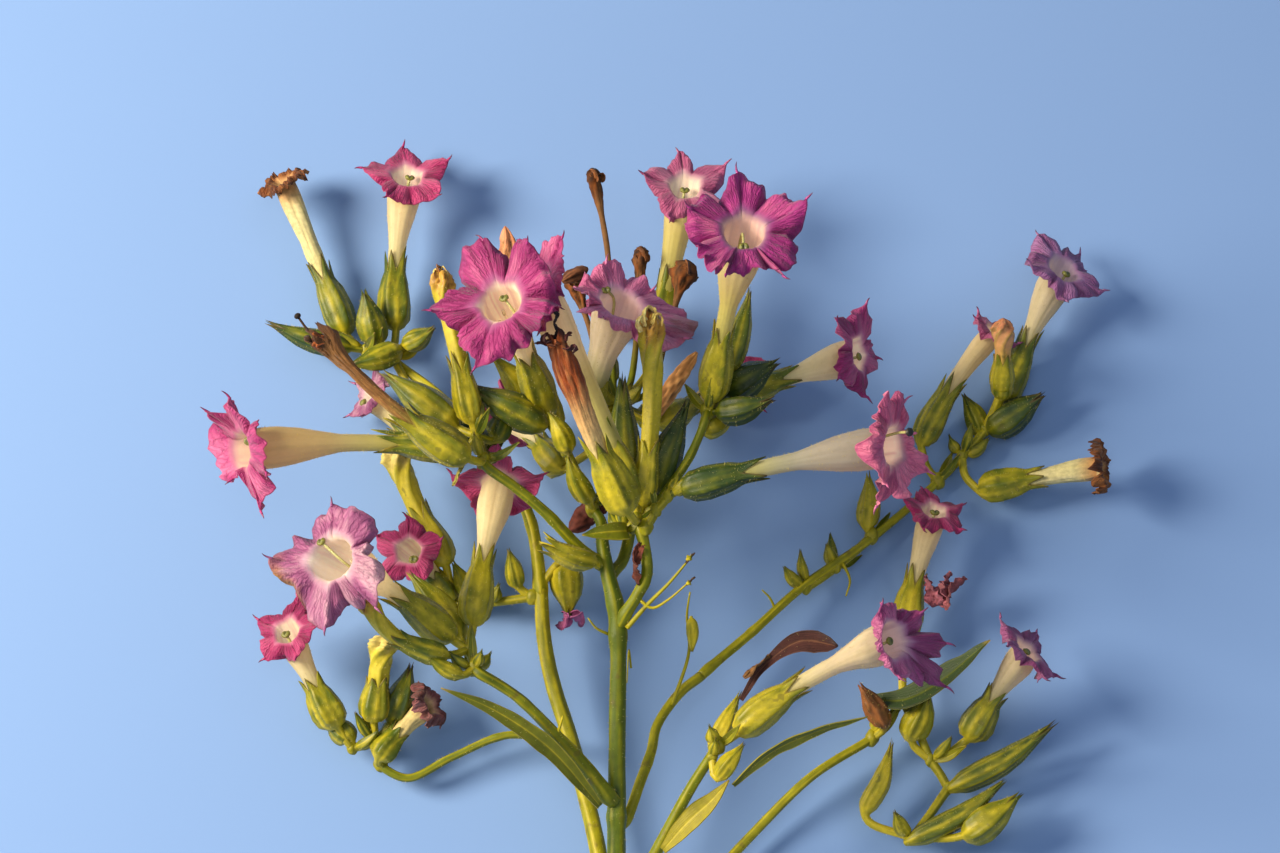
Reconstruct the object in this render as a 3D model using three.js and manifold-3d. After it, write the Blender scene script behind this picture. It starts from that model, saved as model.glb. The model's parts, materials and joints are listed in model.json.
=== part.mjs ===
// The cut flowering top (flower head) of a tobacco plant, lying down on a flat
// surface: main stem with a flat cut end, the boughs that fork from it, one
// solid for each large bloom, a mass for each cluster of calyces and buds, and
// the narrow bract leaves as thin blades.
//
// Millimetres, +Z up. The plant is laid out in its own "view grid": x to the
// right and y downwards in grid units of GRID_MM on the plane through the main
// stem, and a third number, the depth in mm in front of (+) or behind (-) that
// plane. The whole plant is then leaned back by LEAN_DEG, so that it rests on
// its cut end and on the blooms of its back.

import * as THREE from 'three';
import { mergeVertices } from 'three/addons/utils/BufferGeometryUtils.js';
import Module from 'manifold-3d';

// ---- driving dimensions -------------------------------------------------
const GRID_MM = 0.24;          // one grid unit on the stem plane
const GRID_CX = 640;           // grid point on the axis of the layout
const GRID_CY = 426.5;
const EYE_MM = 1200;           // distance from which the layout is drawn
const LEAN_DEG = 20.0;         // stem axis above the horizontal
const ROLL_DEG = 0.0;          // turn about the stem axis
const GAP = 0.32;              // clearance between touching pieces
const CALYX_LEN = 14.5;        // calyx, base to mouth
const CALYX_R = 3.9;           // calyx, greatest radius
const TUBE_R = 1.7;            // corolla tube above the calyx
const THROAT_R = 4.7;          // corolla tube at its throat
const LIMB_THICK = 1.0;        // limb of the corolla as a solid
const BLADE_THICK = 0.9;       // bract leaves
const STEM_SIDES = 5;
const CALYX_SIDES = 5;
const BUD_SIDES = 4;
const STALK_R = 1.2;           // stalk of a calyx or bud

// ---- stems and boughs: [x, y, depth, radius mm] -------------------------
const STEMS = {
  stem_main: [[617, 1040, 0, 2.45], [616.5, 853, 0, 2.2], [617, 735, 0, 2.05], [618, 640, 0, 1.95], [615, 604, -0.5, 1.95], [608, 574, -1.5, 1.75], [603, 547, -3.5, 1.6], [601, 522, -7, 1.4]],
  fork_right: [[626, 613, 1.5, 1.45], [637, 596, 3, 1.4], [647, 574, 4, 1.35], [645, 548, 4, 1.35], [641, 531, 4, 1.5]],
  bough_left: [[607, 795, 2.5, 1.9], [588, 770, 5, 1.75], [560, 739, 8, 1.45], [521, 700, 10.5, 1.25], [498, 684, 11.5, 1.25], [479, 673, 12.5, 1.35]],
  bough_upper_left: [[598, 562, -2, 1.45], [578, 546, 0, 1.35], [545, 512, 3, 1.3], [515, 487, 4.5, 1.25], [487, 467, 5.5, 1.25]],
  bough_back_left: [[609, 930, -3.5, 2.1], [598, 850, -9, 2.05], [572, 745, -18, 1.95], [553, 685, -23, 1.9], [544, 640, -26, 1.8], [541, 590, -29, 1.75]],
  bough_top_left: [[540, 582, -29.5, 1.6], [530, 520, -33, 1.5], [492, 450, -40, 1.3], [440, 396, -48, 1.2], [396, 362, -54, 1.15]],
  bough_back: [[622, 562, -7, 1.45], [630, 530, -12, 1.4], [632, 480, -20, 1.35], [622, 440, -27, 1.3], [618, 412, -31, 1.25]],
  bough_back_right: [[627, 818, -3.5, 1.3], [640, 783, -6, 1.25], [651, 752, -9, 1.2], [657, 726, -12, 1.2], [681, 692, -17, 1.2], [701, 676, -20, 1.25]],
  bough_far_right: [[706, 671, -21, 1.2], [752, 632, -27, 1.15], [801, 588, -34, 1.1], [868, 541, -41, 1.05], [932, 487, -48, 1.0]],
  bough_front_right: [[622, 915, 2.8, 1.5], [641, 880, 5, 1.5], [659, 847, 7, 1.45], [690, 790, 9, 1.3], [716, 748, 10.5, 1.15]],
  bough_low_right: [[622, 985, -2.5, 1.3], [680, 915, -8, 1.2], [745, 842, -14, 1.15], [812, 776, -17, 1.1], [866, 742, -20.5, 1.1]],
  bough_low_left: [[560, 742, -19, 1.0], [508, 735, -20, 0.95], [452, 757, -20, 0.95], [408, 778, -19, 1.0], [384, 768, -19, 1.1]],
  bough_right_up: [[654, 506, 2, 1.1], [672, 484, 1, 1.1], [688, 460, 0, 1.05], [699, 437, -1, 1.05], [706, 418, -1.5, 1.05]],
};

// ---- blooms ---------------------------------------------------------------
// calyx base, bend of the tube, throat: each [x, y, depth]; the way the limb
// faces [right, up, forward]; limb radius in mm; turn of the lobes in degrees;
// kind: star (open), soft (half open or nodding), wilt (crumpled), dry (closed).
const BLOOMS = {
  bloom_01: { base: [548, 416, -12], bend: [530, 360, 0], throat: [502, 306, 21], face: [-0.33, 0.30, 0.89], r: 17.6, turn: 100, kind: 'star', fine: true },
  bloom_02: { base: [634, 500, 3], bend: [588, 390, 5], throat: [545, 285, 9], face: [-0.5, 0.5, 0.7], r: 14.5, turn: 60, kind: 'soft' },
  bloom_03: { base: [711, 402, -3], bend: [722, 330, 1], throat: [745, 233, 19], face: [0.05, 0.36, 0.93], r: 16.8, turn: 98, kind: 'star', fine: true },
  bloom_04: { base: [680, 490, 8], bend: [770, 462, 11], throat: [876, 445, 12], face: [0.84, -0.06, 0.54], r: 15.5, turn: 82, kind: 'star', fine: true },
  bloom_05: { base: [453, 640, 8], bend: [402, 590, 13], throat: [334, 563, 27], face: [-0.35, 0.12, 0.93], r: 14.8, turn: 86, kind: 'star', fine: true },
  bloom_06: { base: [473, 626, 4], bend: [481, 560, -1], throat: [499, 486, -12], face: [0.12, 0.62, -0.78], r: 12.5, turn: 90, kind: 'soft' },
  bloom_07: { base: [463, 449, -1], bend: [370, 436, 1], throat: [260, 446, 5], face: [-0.86, -0.02, 0.51], r: 15.5, turn: 74, kind: 'star' },
  bloom_08: { base: [396, 330, -57], bend: [391, 260, -62], throat: [407, 178, -66], face: [0.12, 0.72, 0.68], r: 12.2, turn: 92, kind: 'star' },
  bloom_09: { base: [584, 418, -31], bend: [596, 370, -27], throat: [631, 316, -18], face: [0.42, 0.82, 0.38], r: 16.8, turn: 60, kind: 'star' },
  bloom_10: { base: [660, 350, -40], bend: [668, 270, -46], throat: [685, 188, -50], face: [0.05, 0.6, 0.8], r: 12.0, turn: 96, kind: 'star' },
  bloom_11: { base: [722, 398, -19], bend: [788, 378, -25], throat: [856, 354, -31], face: [0.9, 0.12, 0.42], r: 13.0, turn: 66, kind: 'star' },
  bloom_12: { base: [1003, 404, -55], bend: [1022, 345, -58], throat: [1060, 274, -59.2], face: [0.5, 0.72, 0.48], r: 12.6, turn: 100, kind: 'star' },
  bloom_13: { base: [921, 446, -49], bend: [946, 385, -52], throat: [994, 332, -53], face: [0.55, 0.72, 0.42], r: 7.6, turn: 90, kind: 'soft' },
  bloom_14: { base: [978, 490, -44], bend: [1040, 476, -42], throat: [1098, 468, -39], face: [0.97, 0.1, 0.2], r: 8.6, turn: 80, kind: 'wilt' },
  bloom_15: { base: [904, 640, -27], bend: [912, 580, -31], throat: [934, 512, -34], face: [0.15, 0.8, 0.58], r: 9.6, turn: 90, kind: 'soft' },
  bloom_16: { base: [737, 734, 11], bend: [790, 680, 12], throat: [884, 646, 14], face: [0.74, 0.02, 0.67], r: 12.6, turn: 70, kind: 'star' },
  bloom_17: { base: [448, 606, -34], bend: [432, 566, -34], throat: [409, 551, -24], face: [-0.2, 0.14, 0.96], r: 9.6, turn: 84, kind: 'soft' },
  bloom_18: { base: [427, 448, -46], bend: [402, 428, -48], throat: [370, 396, -49], face: [-0.74, 0.52, 0.43], r: 8.2, turn: 90, kind: 'soft' },
  bloom_19: { base: [967, 740, -18], bend: [990, 700, -18], throat: [1026, 652, -17], face: [0.66, 0.66, 0.36], r: 11.0, turn: 94, kind: 'star' },
  bloom_20: { base: [338, 728, -18], bend: [316, 690, -19], throat: [288, 632, -18], face: [-0.4, 0.45, 0.8], r: 10.0, turn: 90, kind: 'soft' },
  bloom_21: { base: [347, 336, -60], bend: [318, 262, -64], throat: [284, 184, -67], face: [-0.4, 0.85, 0.34], r: 9.2, turn: 90, kind: 'wilt' },
  bloom_22: { base: [378, 760, -17], bend: [398, 730, -18], throat: [428, 706, -18], face: [0.82, 0.42, 0.39], r: 8.0, turn: 90, kind: 'wilt' },
  bloom_23: { base: [629, 513, 13], bend: [594, 448, 18], throat: [556, 338, 23], face: [-0.25, 0.96, 0.1], r: 3.6, turn: 90, kind: 'dry' },
  bloom_24: { base: [469, 459, 11], bend: [400, 424, 14], throat: [322, 338, 16], face: [-0.75, 0.64, 0.1], r: 3.6, turn: 90, kind: 'dry' },
  bloom_25: { base: [563, 470, -30], bend: [536, 440, -37], throat: [510, 410, -43], face: [-0.45, 0.2, -0.87], r: 12.0, turn: 90, kind: 'star' },
  bloom_26: { base: [660, 424, -31], bend: [694, 404, -42], throat: [736, 380, -52], face: [0.66, 0.1, -0.74], r: 11.0, turn: 90, kind: 'star' },
  bloom_27: { base: [600, 392, -38], bend: [606, 352, -48], throat: [622, 312, -56], face: [0.15, 0.72, -0.68], r: 10.5, turn: 90, kind: 'star' },
};

// ---- closed calyces and buds: base and tip [x, y, depth], radius mm --------
// Each mass joins the calyces of its own blooms, its buds and its stalks.
const MASSES = {
  cluster_centre: {
    hub: [636, 520, 3], blooms: ['bloom_02', 'bloom_23'],
    buds: [[[641, 507, 2], [652, 400, 3], 3.0], [[652, 402, 3], [650, 312, 4], 2.9], [[630, 508, -4], [622, 372, -7], 3.9], [[652, 500, -3], [689, 398, -3], 3.9], [[624, 524, 6], [583, 532, 9], 2.0]],
    via: [[624, 532, 2]],
  },
  cluster_inner_left: {
    hub: [592, 508, -8], blooms: ['bloom_01'],
    buds: [[[540, 410, -12], [489, 352, -8], 3.4], [[546, 424, -7], [466, 383, -2], 4.2], [[568, 452, -3], [548, 410, 0], 2.6], [[590, 502, -5], [566, 452, 1], 2.6]],
    via: [[566, 450, -5], [546, 418, -8]],
  },
  cluster_upper_left: {
    hub: [483, 461, 4], blooms: ['bloom_24', 'bloom_07'],
    buds: [[[458, 428, -3], [379, 370, -6], 4.2], [[473, 424, 0], [455, 340, -1], 2.7], [[455, 342, -1], [439, 270, -2], 2.6], [[494, 440, -4], [508, 408, -6], 2.8]],
    via: [[476, 436, 0]],
  },
  cluster_left: {
    hub: [474, 668, 11], blooms: ['bloom_05', 'bloom_06'],
    buds: [[[462, 640, 1], [408, 571, -4], 3.9], [[447, 655, 13], [392, 634, 17], 2.7], [[394, 636, 17], [361, 595, 19], 2.1], [[463, 675, 14], [424, 654, 17], 1.9]],
    via: [[468, 650, 8]],
  },
  cluster_top_left: {
    hub: [392, 356, -53], blooms: ['bloom_08', 'bloom_21', 'bloom_18'],
    buds: [[[374, 346, -54], [363, 288, -52], 3.6], [[352, 348, -54], [264, 321, -53], 3.1], [[400, 350, -50], [346, 366, -44], 3.2], [[404, 346, -50], [436, 326, -46], 2.6]],
    via: [[366, 350, -55]],
  },
  cluster_back: {
    hub: [617, 404, -32], blooms: ['bloom_09', 'bloom_10', 'bloom_25', 'bloom_26', 'bloom_27'],
    buds: [[[614, 392, -37], [608, 250, -46], 1.9], [[609, 256, -46], [592, 168, -50], 1.9], [[630, 384, -40], [641, 262, -44], 2.5], [[648, 392, -38], [690, 274, -42], 2.4], [[640, 414, -40], [672, 420, -50], 3.2]],
    via: [],
  },
  cluster_upper_right: {
    hub: [707, 411, -4], blooms: ['bloom_03', 'bloom_11'],
    buds: [[[729, 372, -7], [751, 286, -8], 2.7], [[722, 396, -10], [781, 360, -6], 4.0], [[716, 412, -4], [776, 398, 2], 3.3], [[703, 430, -6], [738, 416, -9], 2.6]],
    via: [[716, 400, -8]],
  },
  cluster_right: {
    hub: [646, 527, 5.4], blooms: ['bloom_04'], buds: [], via: [[656, 510, 6.5], [668, 496, 7.4]],
  },
  cluster_far_right: {
    hub: [938, 481, -49], blooms: ['bloom_12', 'bloom_13', 'bloom_14'],
    buds: [[[988, 432, -52], [1046, 392, -47], 4.0], [[984, 436, -53], [962, 392, -54], 2.6], [[1000, 400, -50], [1001, 352, -46], 2.8]],
    via: [[962, 456, -49], [985, 430, -52]],
  },
  cluster_mid_right: {
    hub: [872, 536, -42], blooms: [],
    buds: [[[868, 530, -42], [868, 470, -44], 2.7], [[834, 566, -40], [826, 542, -38], 1.7], [[806, 582, -36], [800, 548, -33], 1.3]],
    via: [[836, 567, -38], [806, 588, -35]],
  },
  cluster_lower_right: {
    hub: [718, 745, 11], blooms: ['bloom_16'],
    buds: [[[712, 752, 8], [741, 690, 4], 2.2], [[716, 778, 12], [745, 742, 14], 2.2]],
    via: [[712, 757, 10.5]],
  },
  cluster_low_right: {
    hub: [872, 738, -21], blooms: ['bloom_15', 'bloom_19'],
    buds: [[[884, 728, -19], [858, 682, -15], 2.8], [[866, 818, -15], [893, 738, -18], 2.3], [[912, 742, -19], [930, 690, -16], 3.6], [[948, 790, -16], [1056, 722, -15], 2.9], [[906, 842, -12], [1008, 778, -11], 2.6], [[962, 836, -10], [1022, 792, -9], 4.0]],
    via: [[903, 700, -22], [930, 760, -19], [948, 788, -17], [912, 838, -13]],
  },
  cluster_mid_left: {
    hub: [533, 597, -29], blooms: ['bloom_17'],
    buds: [[[446, 566, -33], [391, 444, -36], 3.1], [[470, 600, -33], [452, 560, -30], 2.4], [[520, 588, -29], [508, 548, -26], 2.2]],
    via: [[488, 603, -31], [452, 604, -34]],
  },
  cluster_low_left: {
    hub: [381, 764, -19.5], blooms: ['bloom_20', 'bloom_22'],
    buds: [[[374, 722, -18], [384, 636, -16], 3.2], [[390, 724, -20], [412, 662, -20], 3.4], [[352, 742, -20], [322, 716, -22], 3.0]],
    via: [[376, 742, -19.5], [352, 748, -20]],
  },
};

// ---- bract leaves: middle line [x, y, depth], half width mm ----------------
const BRACTS = {
  bract_left: { line: [[600, 806, 4.5], [548, 747, 12], [492, 709, 16], [441, 688, 18]], half: 2.3, face: [0.3, -0.2, 0.93] },
  bract_right: { line: [[733, 785, 13], [772, 752, 15], [818, 731, 16], [868, 717, 16]], half: 1.5, face: [0.3, -0.5, 0.8] },
  bract_lower: { line: [[663, 850, 10.5], [688, 822, 13], [712, 800, 14], [729, 780, 15]], half: 2.1, face: [-0.3, 0.2, 0.93] },
  bract_dark: { line: [[873, 700, -21], [905, 700, -17], [940, 682, -14], [990, 640, -11]], half: 4.6, face: [0.2, 0.6, 0.77] },
  bract_brown: { line: [[741, 700, 5], [762, 668, 6], [800, 641, 8], [838, 646, 9]], half: 1.3, face: [0.2, 0.3, 0.93] },
};

// ---- helpers ----------------------------------------------------------------
function at(x, y, depth) {
  const k = GRID_MM * (EYE_MM - depth) / EYE_MM;
  return new THREE.Vector3((x - GRID_CX) * k, (GRID_CY - y) * k, depth);
}
const atPoint = (p) => at(p[0], p[1], p[2]);

// Cross-section frames carried along a curve without twist.
function framesOf(curve, params, side) {
  const frames = [];
  let normal = side.clone();
  for (const t of params) {
    const point = curve.getPointAt(THREE.MathUtils.clamp(t, 0, 1));
    const tangent = curve.getTangentAt(THREE.MathUtils.clamp(t, 0, 1)).normalize();
    normal = normal.clone().addScaledVector(tangent, -normal.dot(tangent)).normalize();
    const binormal = tangent.clone().cross(normal).normalize();
    frames.push({ point, tangent, normal: normal.clone(), binormal });
  }
  return frames;
}

// A lathe profile [radius, distance along the curve in mm] turned round and
// then laid along the curve. "spread" may reshape each ring point.
function bentLathe(curve, profile, sides, side = new THREE.Vector3(0, 0, 1), spread = null) {
  const length = curve.getLength();
  const lathe = new THREE.LatheGeometry(profile.map(([r, s]) => new THREE.Vector2(Math.max(r, 0), s)), sides);
  const position = lathe.attributes.position;
  const rows = profile.length;
  const frames = framesOf(curve, profile.map(([, s]) => s / length), side);
  for (let column = 0; column <= sides; column++) {
    for (let row = 0; row < rows; row++) {
      const index = column * rows + row;
      const turn = ((column % sides) / sides) * Math.PI * 2;
      const [radius, along] = profile[row];
      const frame = frames[row];
      const over = along - THREE.MathUtils.clamp(along, 0, length);
      let a = Math.cos(turn) * Math.max(radius, 0);
      let b = Math.sin(turn) * Math.max(radius, 0);
      let c = over;
      if (spread) [a, b, c] = spread(a, b, c, row, turn);
      const p = frame.point.clone().addScaledVector(frame.normal, a)
        .addScaledVector(frame.binormal, b).addScaledVector(frame.tangent, c);
      position.setXYZ(index, p.x, p.y, p.z);
    }
  }
  return lathe;
}

const wasm = await Module();
wasm.setup();

function toSolid(geometry) {
  const bare = geometry.clone();
  bare.deleteAttribute('normal');
  bare.deleteAttribute('uv');
  const merged = mergeVertices(bare, 1e-4);
  const kept = [];
  const index = merged.index.array;
  for (let i = 0; i < index.length; i += 3) {
    const [a, b, c] = [index[i], index[i + 1], index[i + 2]];
    if (a !== b && b !== c && c !== a) kept.push(a, b, c);
  }
  let solid = new wasm.Manifold(new wasm.Mesh({ numProp: 3, vertProperties: new Float32Array(merged.attributes.position.array), triVerts: new Uint32Array(kept) }));
  if (solid.volume() < 0) {
    for (let i = 0; i < kept.length; i += 3) [kept[i + 1], kept[i + 2]] = [kept[i + 2], kept[i + 1]];
    solid = new wasm.Manifold(new wasm.Mesh({ numProp: 3, vertProperties: new Float32Array(merged.attributes.position.array), triVerts: new Uint32Array(kept) }));
  }
  return solid;
}

function toGeometry(solid) {
  const mesh = solid.getMesh();
  const count = mesh.vertProperties.length / mesh.numProp;
  const points = new Float32Array(count * 3);
  for (let i = 0; i < count; i++) for (let k = 0; k < 3; k++) points[i * 3 + k] = mesh.vertProperties[i * mesh.numProp + k];
  const geometry = new THREE.BufferGeometry();
  geometry.setAttribute('position', new THREE.BufferAttribute(points, 3));
  geometry.setIndex(new THREE.BufferAttribute(new Uint32Array(mesh.triVerts), 1));
  geometry.computeVertexNormals();
  return geometry;
}

function largestPiece(solid) {
  const pieces = solid.decompose();
  return pieces.reduce((best, piece) => (piece.volume() > best.volume() ? piece : best));
}

// ---- builders: each takes a growth in mm, used only to cut its neighbours ----
const curveOf = (points) => new THREE.CatmullRomCurve3(points.map(atPoint), false, 'centripetal');
const tubeCurve = (bloom) => new THREE.QuadraticBezierCurve3(atPoint(bloom.base), atPoint(bloom.bend), atPoint(bloom.throat));

function stemSolid(points, grow) {
  const curve = curveOf(points);
  const length = curve.getLength();
  const steps = Math.max(3, Math.ceil(length / 25));
  const radiusAt = (t) => {
    let run = 0;
    const lengths = [0];
    for (let i = 1; i < points.length; i++) { run += atPoint(points[i]).distanceTo(atPoint(points[i - 1])); lengths.push(run); }
    const want = t * run;
    for (let i = 1; i < points.length; i++) {
      if (want <= lengths[i] + 1e-9) {
        const f = (want - lengths[i - 1]) / (lengths[i] - lengths[i - 1]);
        return points[i - 1][3] * (1 - f) + points[i][3] * f;
      }
    }
    return points[points.length - 1][3];
  };
  const profile = [[0, -grow]];
  for (let i = 0; i <= steps; i++) {
    const t = i / steps;
    const s = t * length + (i === 0 ? -grow : i === steps ? grow : 0);
    profile.push([radiusAt(t) + grow, s]);
  }
  profile.push([0, length + grow]);
  return toSolid(bentLathe(curve, profile, STEM_SIDES));
}

// A bud or closed calyx with its own stalk: from the joint that carries it to
// the base of the bud, and on to its tip.
function budSolid(joint, base, tip, radius, grow) {
  const near = joint.distanceTo(atPoint(base)) > 2.5;
  const a = near ? atPoint(base) : joint, b = atPoint(tip);
  const length = a.distanceTo(b);
  const curve = near ? new THREE.CatmullRomCurve3([joint, a, b], false, 'centripetal') : new THREE.LineCurve3(a, b);
  const lead = near ? curve.getLength() - length : 0;
  const profile = near ? [[0, -grow], [STALK_R + grow, 0]] : [[0, -grow]];
  for (const [r, s] of [[0.66, 0.05], [1, 0.46]]) profile.push([r * radius + grow, lead + s * length]);
  profile.push([0, lead + length + grow]);
  return toSolid(bentLathe(curve, profile, BUD_SIDES, new THREE.Vector3(0.2, 0.3, 0.9)));
}

function stalkSolid(from, to, radius, grow) {
  const curve = new THREE.LineCurve3(from, to);
  const length = curve.getLength();
  return toSolid(bentLathe(curve, [[0, -0.4 - grow], [radius + grow, -0.3 - grow], [radius * 0.9 + grow, length + 0.3 + grow], [0, length + 0.4 + grow]], 4, new THREE.Vector3(0.3, 0.2, 0.9)));
}

function calyxSolid(joint, bloom, grow) {
  const tube = tubeCurve(bloom);
  const slim = bloom.kind === 'dry' ? 1.12 : 1;
  const len = Math.min(CALYX_LEN, tube.getLength() * 0.42);
  const base = atPoint(bloom.base);
  const near = joint.distanceTo(base) > 2.5;
  const points = [0, 0.5, 1].map((f) => tube.getPointAt(f * len / tube.getLength()));
  if (near) points.unshift(joint);
  else points[0] = joint;
  const curve = new THREE.CatmullRomCurve3(points, false, 'centripetal');
  const lead = near ? curve.getLength() - len : 0;
  const reach = near ? len : curve.getLength();
  const profile = near ? [[0, -grow], [STALK_R + grow, 0]] : [[0, -grow]];
  for (const [r, s] of [[CALYX_R * 0.66 * slim, 0.05], [CALYX_R * slim, 0.42], [2.7 * slim, 1]]) profile.push([r + grow, lead + s * reach]);
  profile.push([0, lead + reach + grow]);
  return toSolid(bentLathe(curve, profile, CALYX_SIDES, new THREE.Vector3(0.1, 0.2, 0.95)));
}

// Corolla: tube from the mouth of its calyx, then the five-lobed limb.
function bloomSolid(bloom, grow) {
  const curve = tubeCurve(bloom);
  const length = curve.getLength();
  const len = Math.min(CALYX_LEN, length * 0.42);
  const start = len + 0.4;
  const face = new THREE.Vector3(...bloom.face).normalize();
  const throat = atPoint(bloom.throat);
  if (bloom.kind === 'dry') {
    const profile = [[0, start - grow], [2.0 + grow, start - grow]];
    const shape = [[1.8, 0.45], [3.2, 0.8], [2.3, 0.97]];
    for (const [r, f] of shape) profile.push([r + grow, start + (length - start) * f]);
    profile.push([0, length + grow]);
    return toSolid(bentLathe(curve, profile, 6, new THREE.Vector3(0.1, 0.2, 0.95)));
  }
  const open = bloom.kind === 'wilt' ? 0.72 : 1;
  const rt = THROAT_R * (bloom.r < 10 ? 0.8 : 1) * open;
  const profile = [[0, start - grow], [TUBE_R + 0.3 + grow, start - grow]];
  for (const [f, q] of bloom.fine ? [[0.5, 0.24], [0.95, 1]] : [[0.9, 1]]) {
    profile.push([TUBE_R + (rt - TUBE_R) * q + grow, start + (length - start) * f]);
  }
  const tubeRows = profile.length;
  // Limb rings are laid on the limb's own plane: under side, rim, upper side.
  profile.push([bloom.r, length], [bloom.r, length + 0.01], [rt * 0.86, length + 0.02], [0, length + 0.03]);
  const sides = bloom.fine ? 15 : 10;
  const up = new THREE.Vector3(0, 1, 0).addScaledVector(face, -face.y).normalize();
  const right = up.clone().cross(face).normalize();
  const drop = bloom.kind === 'wilt' ? 0.55 : 0.06;
  const geometry = bentLathe(curve, profile, sides, right);
  const position = geometry.attributes.position;
  const rows = profile.length;
  for (let column = 0; column <= sides; column++) {
    const k = column % sides;
    const turn = (k / sides) * Math.PI * 2;
    // lobe wave: 1 at a tip, less at the shoulders or the notch
    const wave = bloom.fine ? [1, 0.42, 0.42][k % 3] : [1, 0.2][k % 2];
    for (let row = tubeRows; row < rows; row++) {
      const index = column * rows + row;
      const what = row - tubeRows;
      let radius, lift;
      if (what === 0) { radius = bloom.r * (0.62 + 0.38 * wave) + grow; lift = -LIMB_THICK - grow - drop * radius; }
      else if (what === 1) { radius = bloom.r * (0.62 + 0.38 * wave) + grow; lift = grow - drop * radius; }
      else if (what === 2) { radius = rt * 0.86; lift = grow; }
      else { radius = 0; lift = grow - (grow ? 0 : 2.2); }
      const angle = turn + THREE.MathUtils.degToRad(bloom.turn);
      const p = throat.clone().addScaledVector(right, Math.cos(angle) * radius)
        .addScaledVector(up, Math.sin(angle) * radius).addScaledVector(face, lift);
      position.setXYZ(index, p.x, p.y, p.z);
    }
  }
  // the tube's own rings follow the turn of the lobes
  const frames = framesOf(curve, profile.map(([, s]) => s / length), right);
  for (let column = 0; column <= sides; column++) {
    const angle = ((column % sides) / sides) * Math.PI * 2 + THREE.MathUtils.degToRad(bloom.turn);
    for (let row = 0; row < tubeRows; row++) {
      const f = frames[row];
      const radius = profile[row][0];
      const over = profile[row][1] - THREE.MathUtils.clamp(profile[row][1], 0, length);
      const upward = f.tangent.clone().cross(f.normal).normalize();
      const p = f.point.clone().addScaledVector(f.normal, Math.cos(angle) * radius)
        .addScaledVector(upward, Math.sin(angle) * radius).addScaledVector(f.tangent, over);
      position.setXYZ(column * rows + row, p.x, p.y, p.z);
    }
  }
  return toSolid(geometry);
}

// A thin blade: a flat lathe ring laid along the middle line.
function bractSolid(bract, grow) {
  const curve = new THREE.CatmullRomCurve3(bract.line.map(atPoint), false, 'centripetal');
  const length = curve.getLength();
  const outline = [[0.35, 0], [0.85, 0.2], [1, 0.45], [0.7, 0.74], [0.16, 0.97]];
  const profile = [[0, -grow], ...outline.map(([w, s]) => [w * bract.half + grow, s * length]), [0, length + grow]];
  const face = new THREE.Vector3(...bract.face).normalize();
  const flatten = (a, b, c, row) => [Math.sign(a) * Math.min(Math.abs(a), BLADE_THICK / 2 + grow), b, c];
  return toSolid(bentLathe(curve, profile, 6, face, flatten));
}

function massSolid(mass, grow) {
  const hub = atPoint(mass.hub);
  const joints = [hub, ...mass.via.map(atPoint)];
  let solid = null;
  const add = (piece) => { solid = solid ? solid.add(piece) : piece; };
  // the stalk runs hub -> via points, and each bud grows from the nearest joint
  for (let i = 1; i < joints.length; i++) add(stalkSolid(joints[i - 1], joints[i], STALK_R, grow));
  const nearest = (base) => {
    const end = atPoint(base);
    return joints.reduce((best, joint) => (joint.distanceTo(end) < best.distanceTo(end) ? joint : best));
  };
  for (const name of mass.blooms) add(calyxSolid(nearest(BLOOMS[name].base), BLOOMS[name], grow));
  for (const [base, tip, radius] of mass.buds) add(budSolid(nearest(base), base, tip, radius, grow));
  return solid;
}

// ---- assembly -----------------------------------------------------------------
const COLOURS = {
  stem: 0x7f9438, calyx: 0x9aa03c, bract: 0x8f9c35, brown: 0x6d3a26,
  star: 0xb8458c, soft: 0xb0508a, wilt: 0x9c6a4c, dry: 0x9a5a30,
};
const pieces = [];
for (const [name, bloom] of Object.entries(BLOOMS)) pieces.push({ name, colour: COLOURS[bloom.kind], make: (g) => bloomSolid(bloom, g) });
for (const [name, points] of Object.entries(STEMS)) pieces.push({ name, colour: COLOURS.stem, make: (g) => stemSolid(points, g) });
for (const [name, mass] of Object.entries(MASSES)) pieces.push({ name, colour: COLOURS.calyx, make: (g) => massSolid(mass, g) });
for (const [name, bract] of Object.entries(BRACTS)) pieces.push({ name, colour: name === 'bract_brown' ? COLOURS.brown : COLOURS.bract, make: (g) => bractSolid(bract, g) });

const overlaps = (a, b) => [0, 1, 2].every((k) => a.min[k] <= b.max[k] && b.min[k] <= a.max[k]);
const done = [];
for (const piece of pieces) {
  let solid = largestPiece(piece.make(0));
  for (const earlier of done) {
    if (!overlaps(solid.boundingBox(), earlier.grown.boundingBox())) continue;
    if (solid.intersect(earlier.grown).volume() < 1e-7) continue;
    solid = largestPiece(solid.subtract(earlier.grown));
  }
  done.push({ ...piece, solid, grown: piece.make(GAP).add(piece.make(0)) });
}

const plant = new THREE.Group();
plant.name = 'tobacco_flower_head';
for (const { name, colour, solid } of done) {
  const material = new THREE.MeshStandardMaterial({ color: colour, roughness: 0.62, metalness: 0 });
  const mesh = new THREE.Mesh(toGeometry(solid), material);
  mesh.name = name;
  plant.add(mesh);
}

// Lean the plant back onto its blooms, and stand its box on the origin.
plant.rotation.set(THREE.MathUtils.degToRad(LEAN_DEG), THREE.MathUtils.degToRad(ROLL_DEG), 0, 'XYZ');
plant.updateMatrixWorld(true);
const box = new THREE.Box3().setFromObject(plant, true);
plant.position.set(-(box.min.x + box.max.x) / 2, -(box.min.y + box.max.y) / 2, -box.min.z);

const part = new THREE.Group();
part.add(plant);
export default part;
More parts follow.
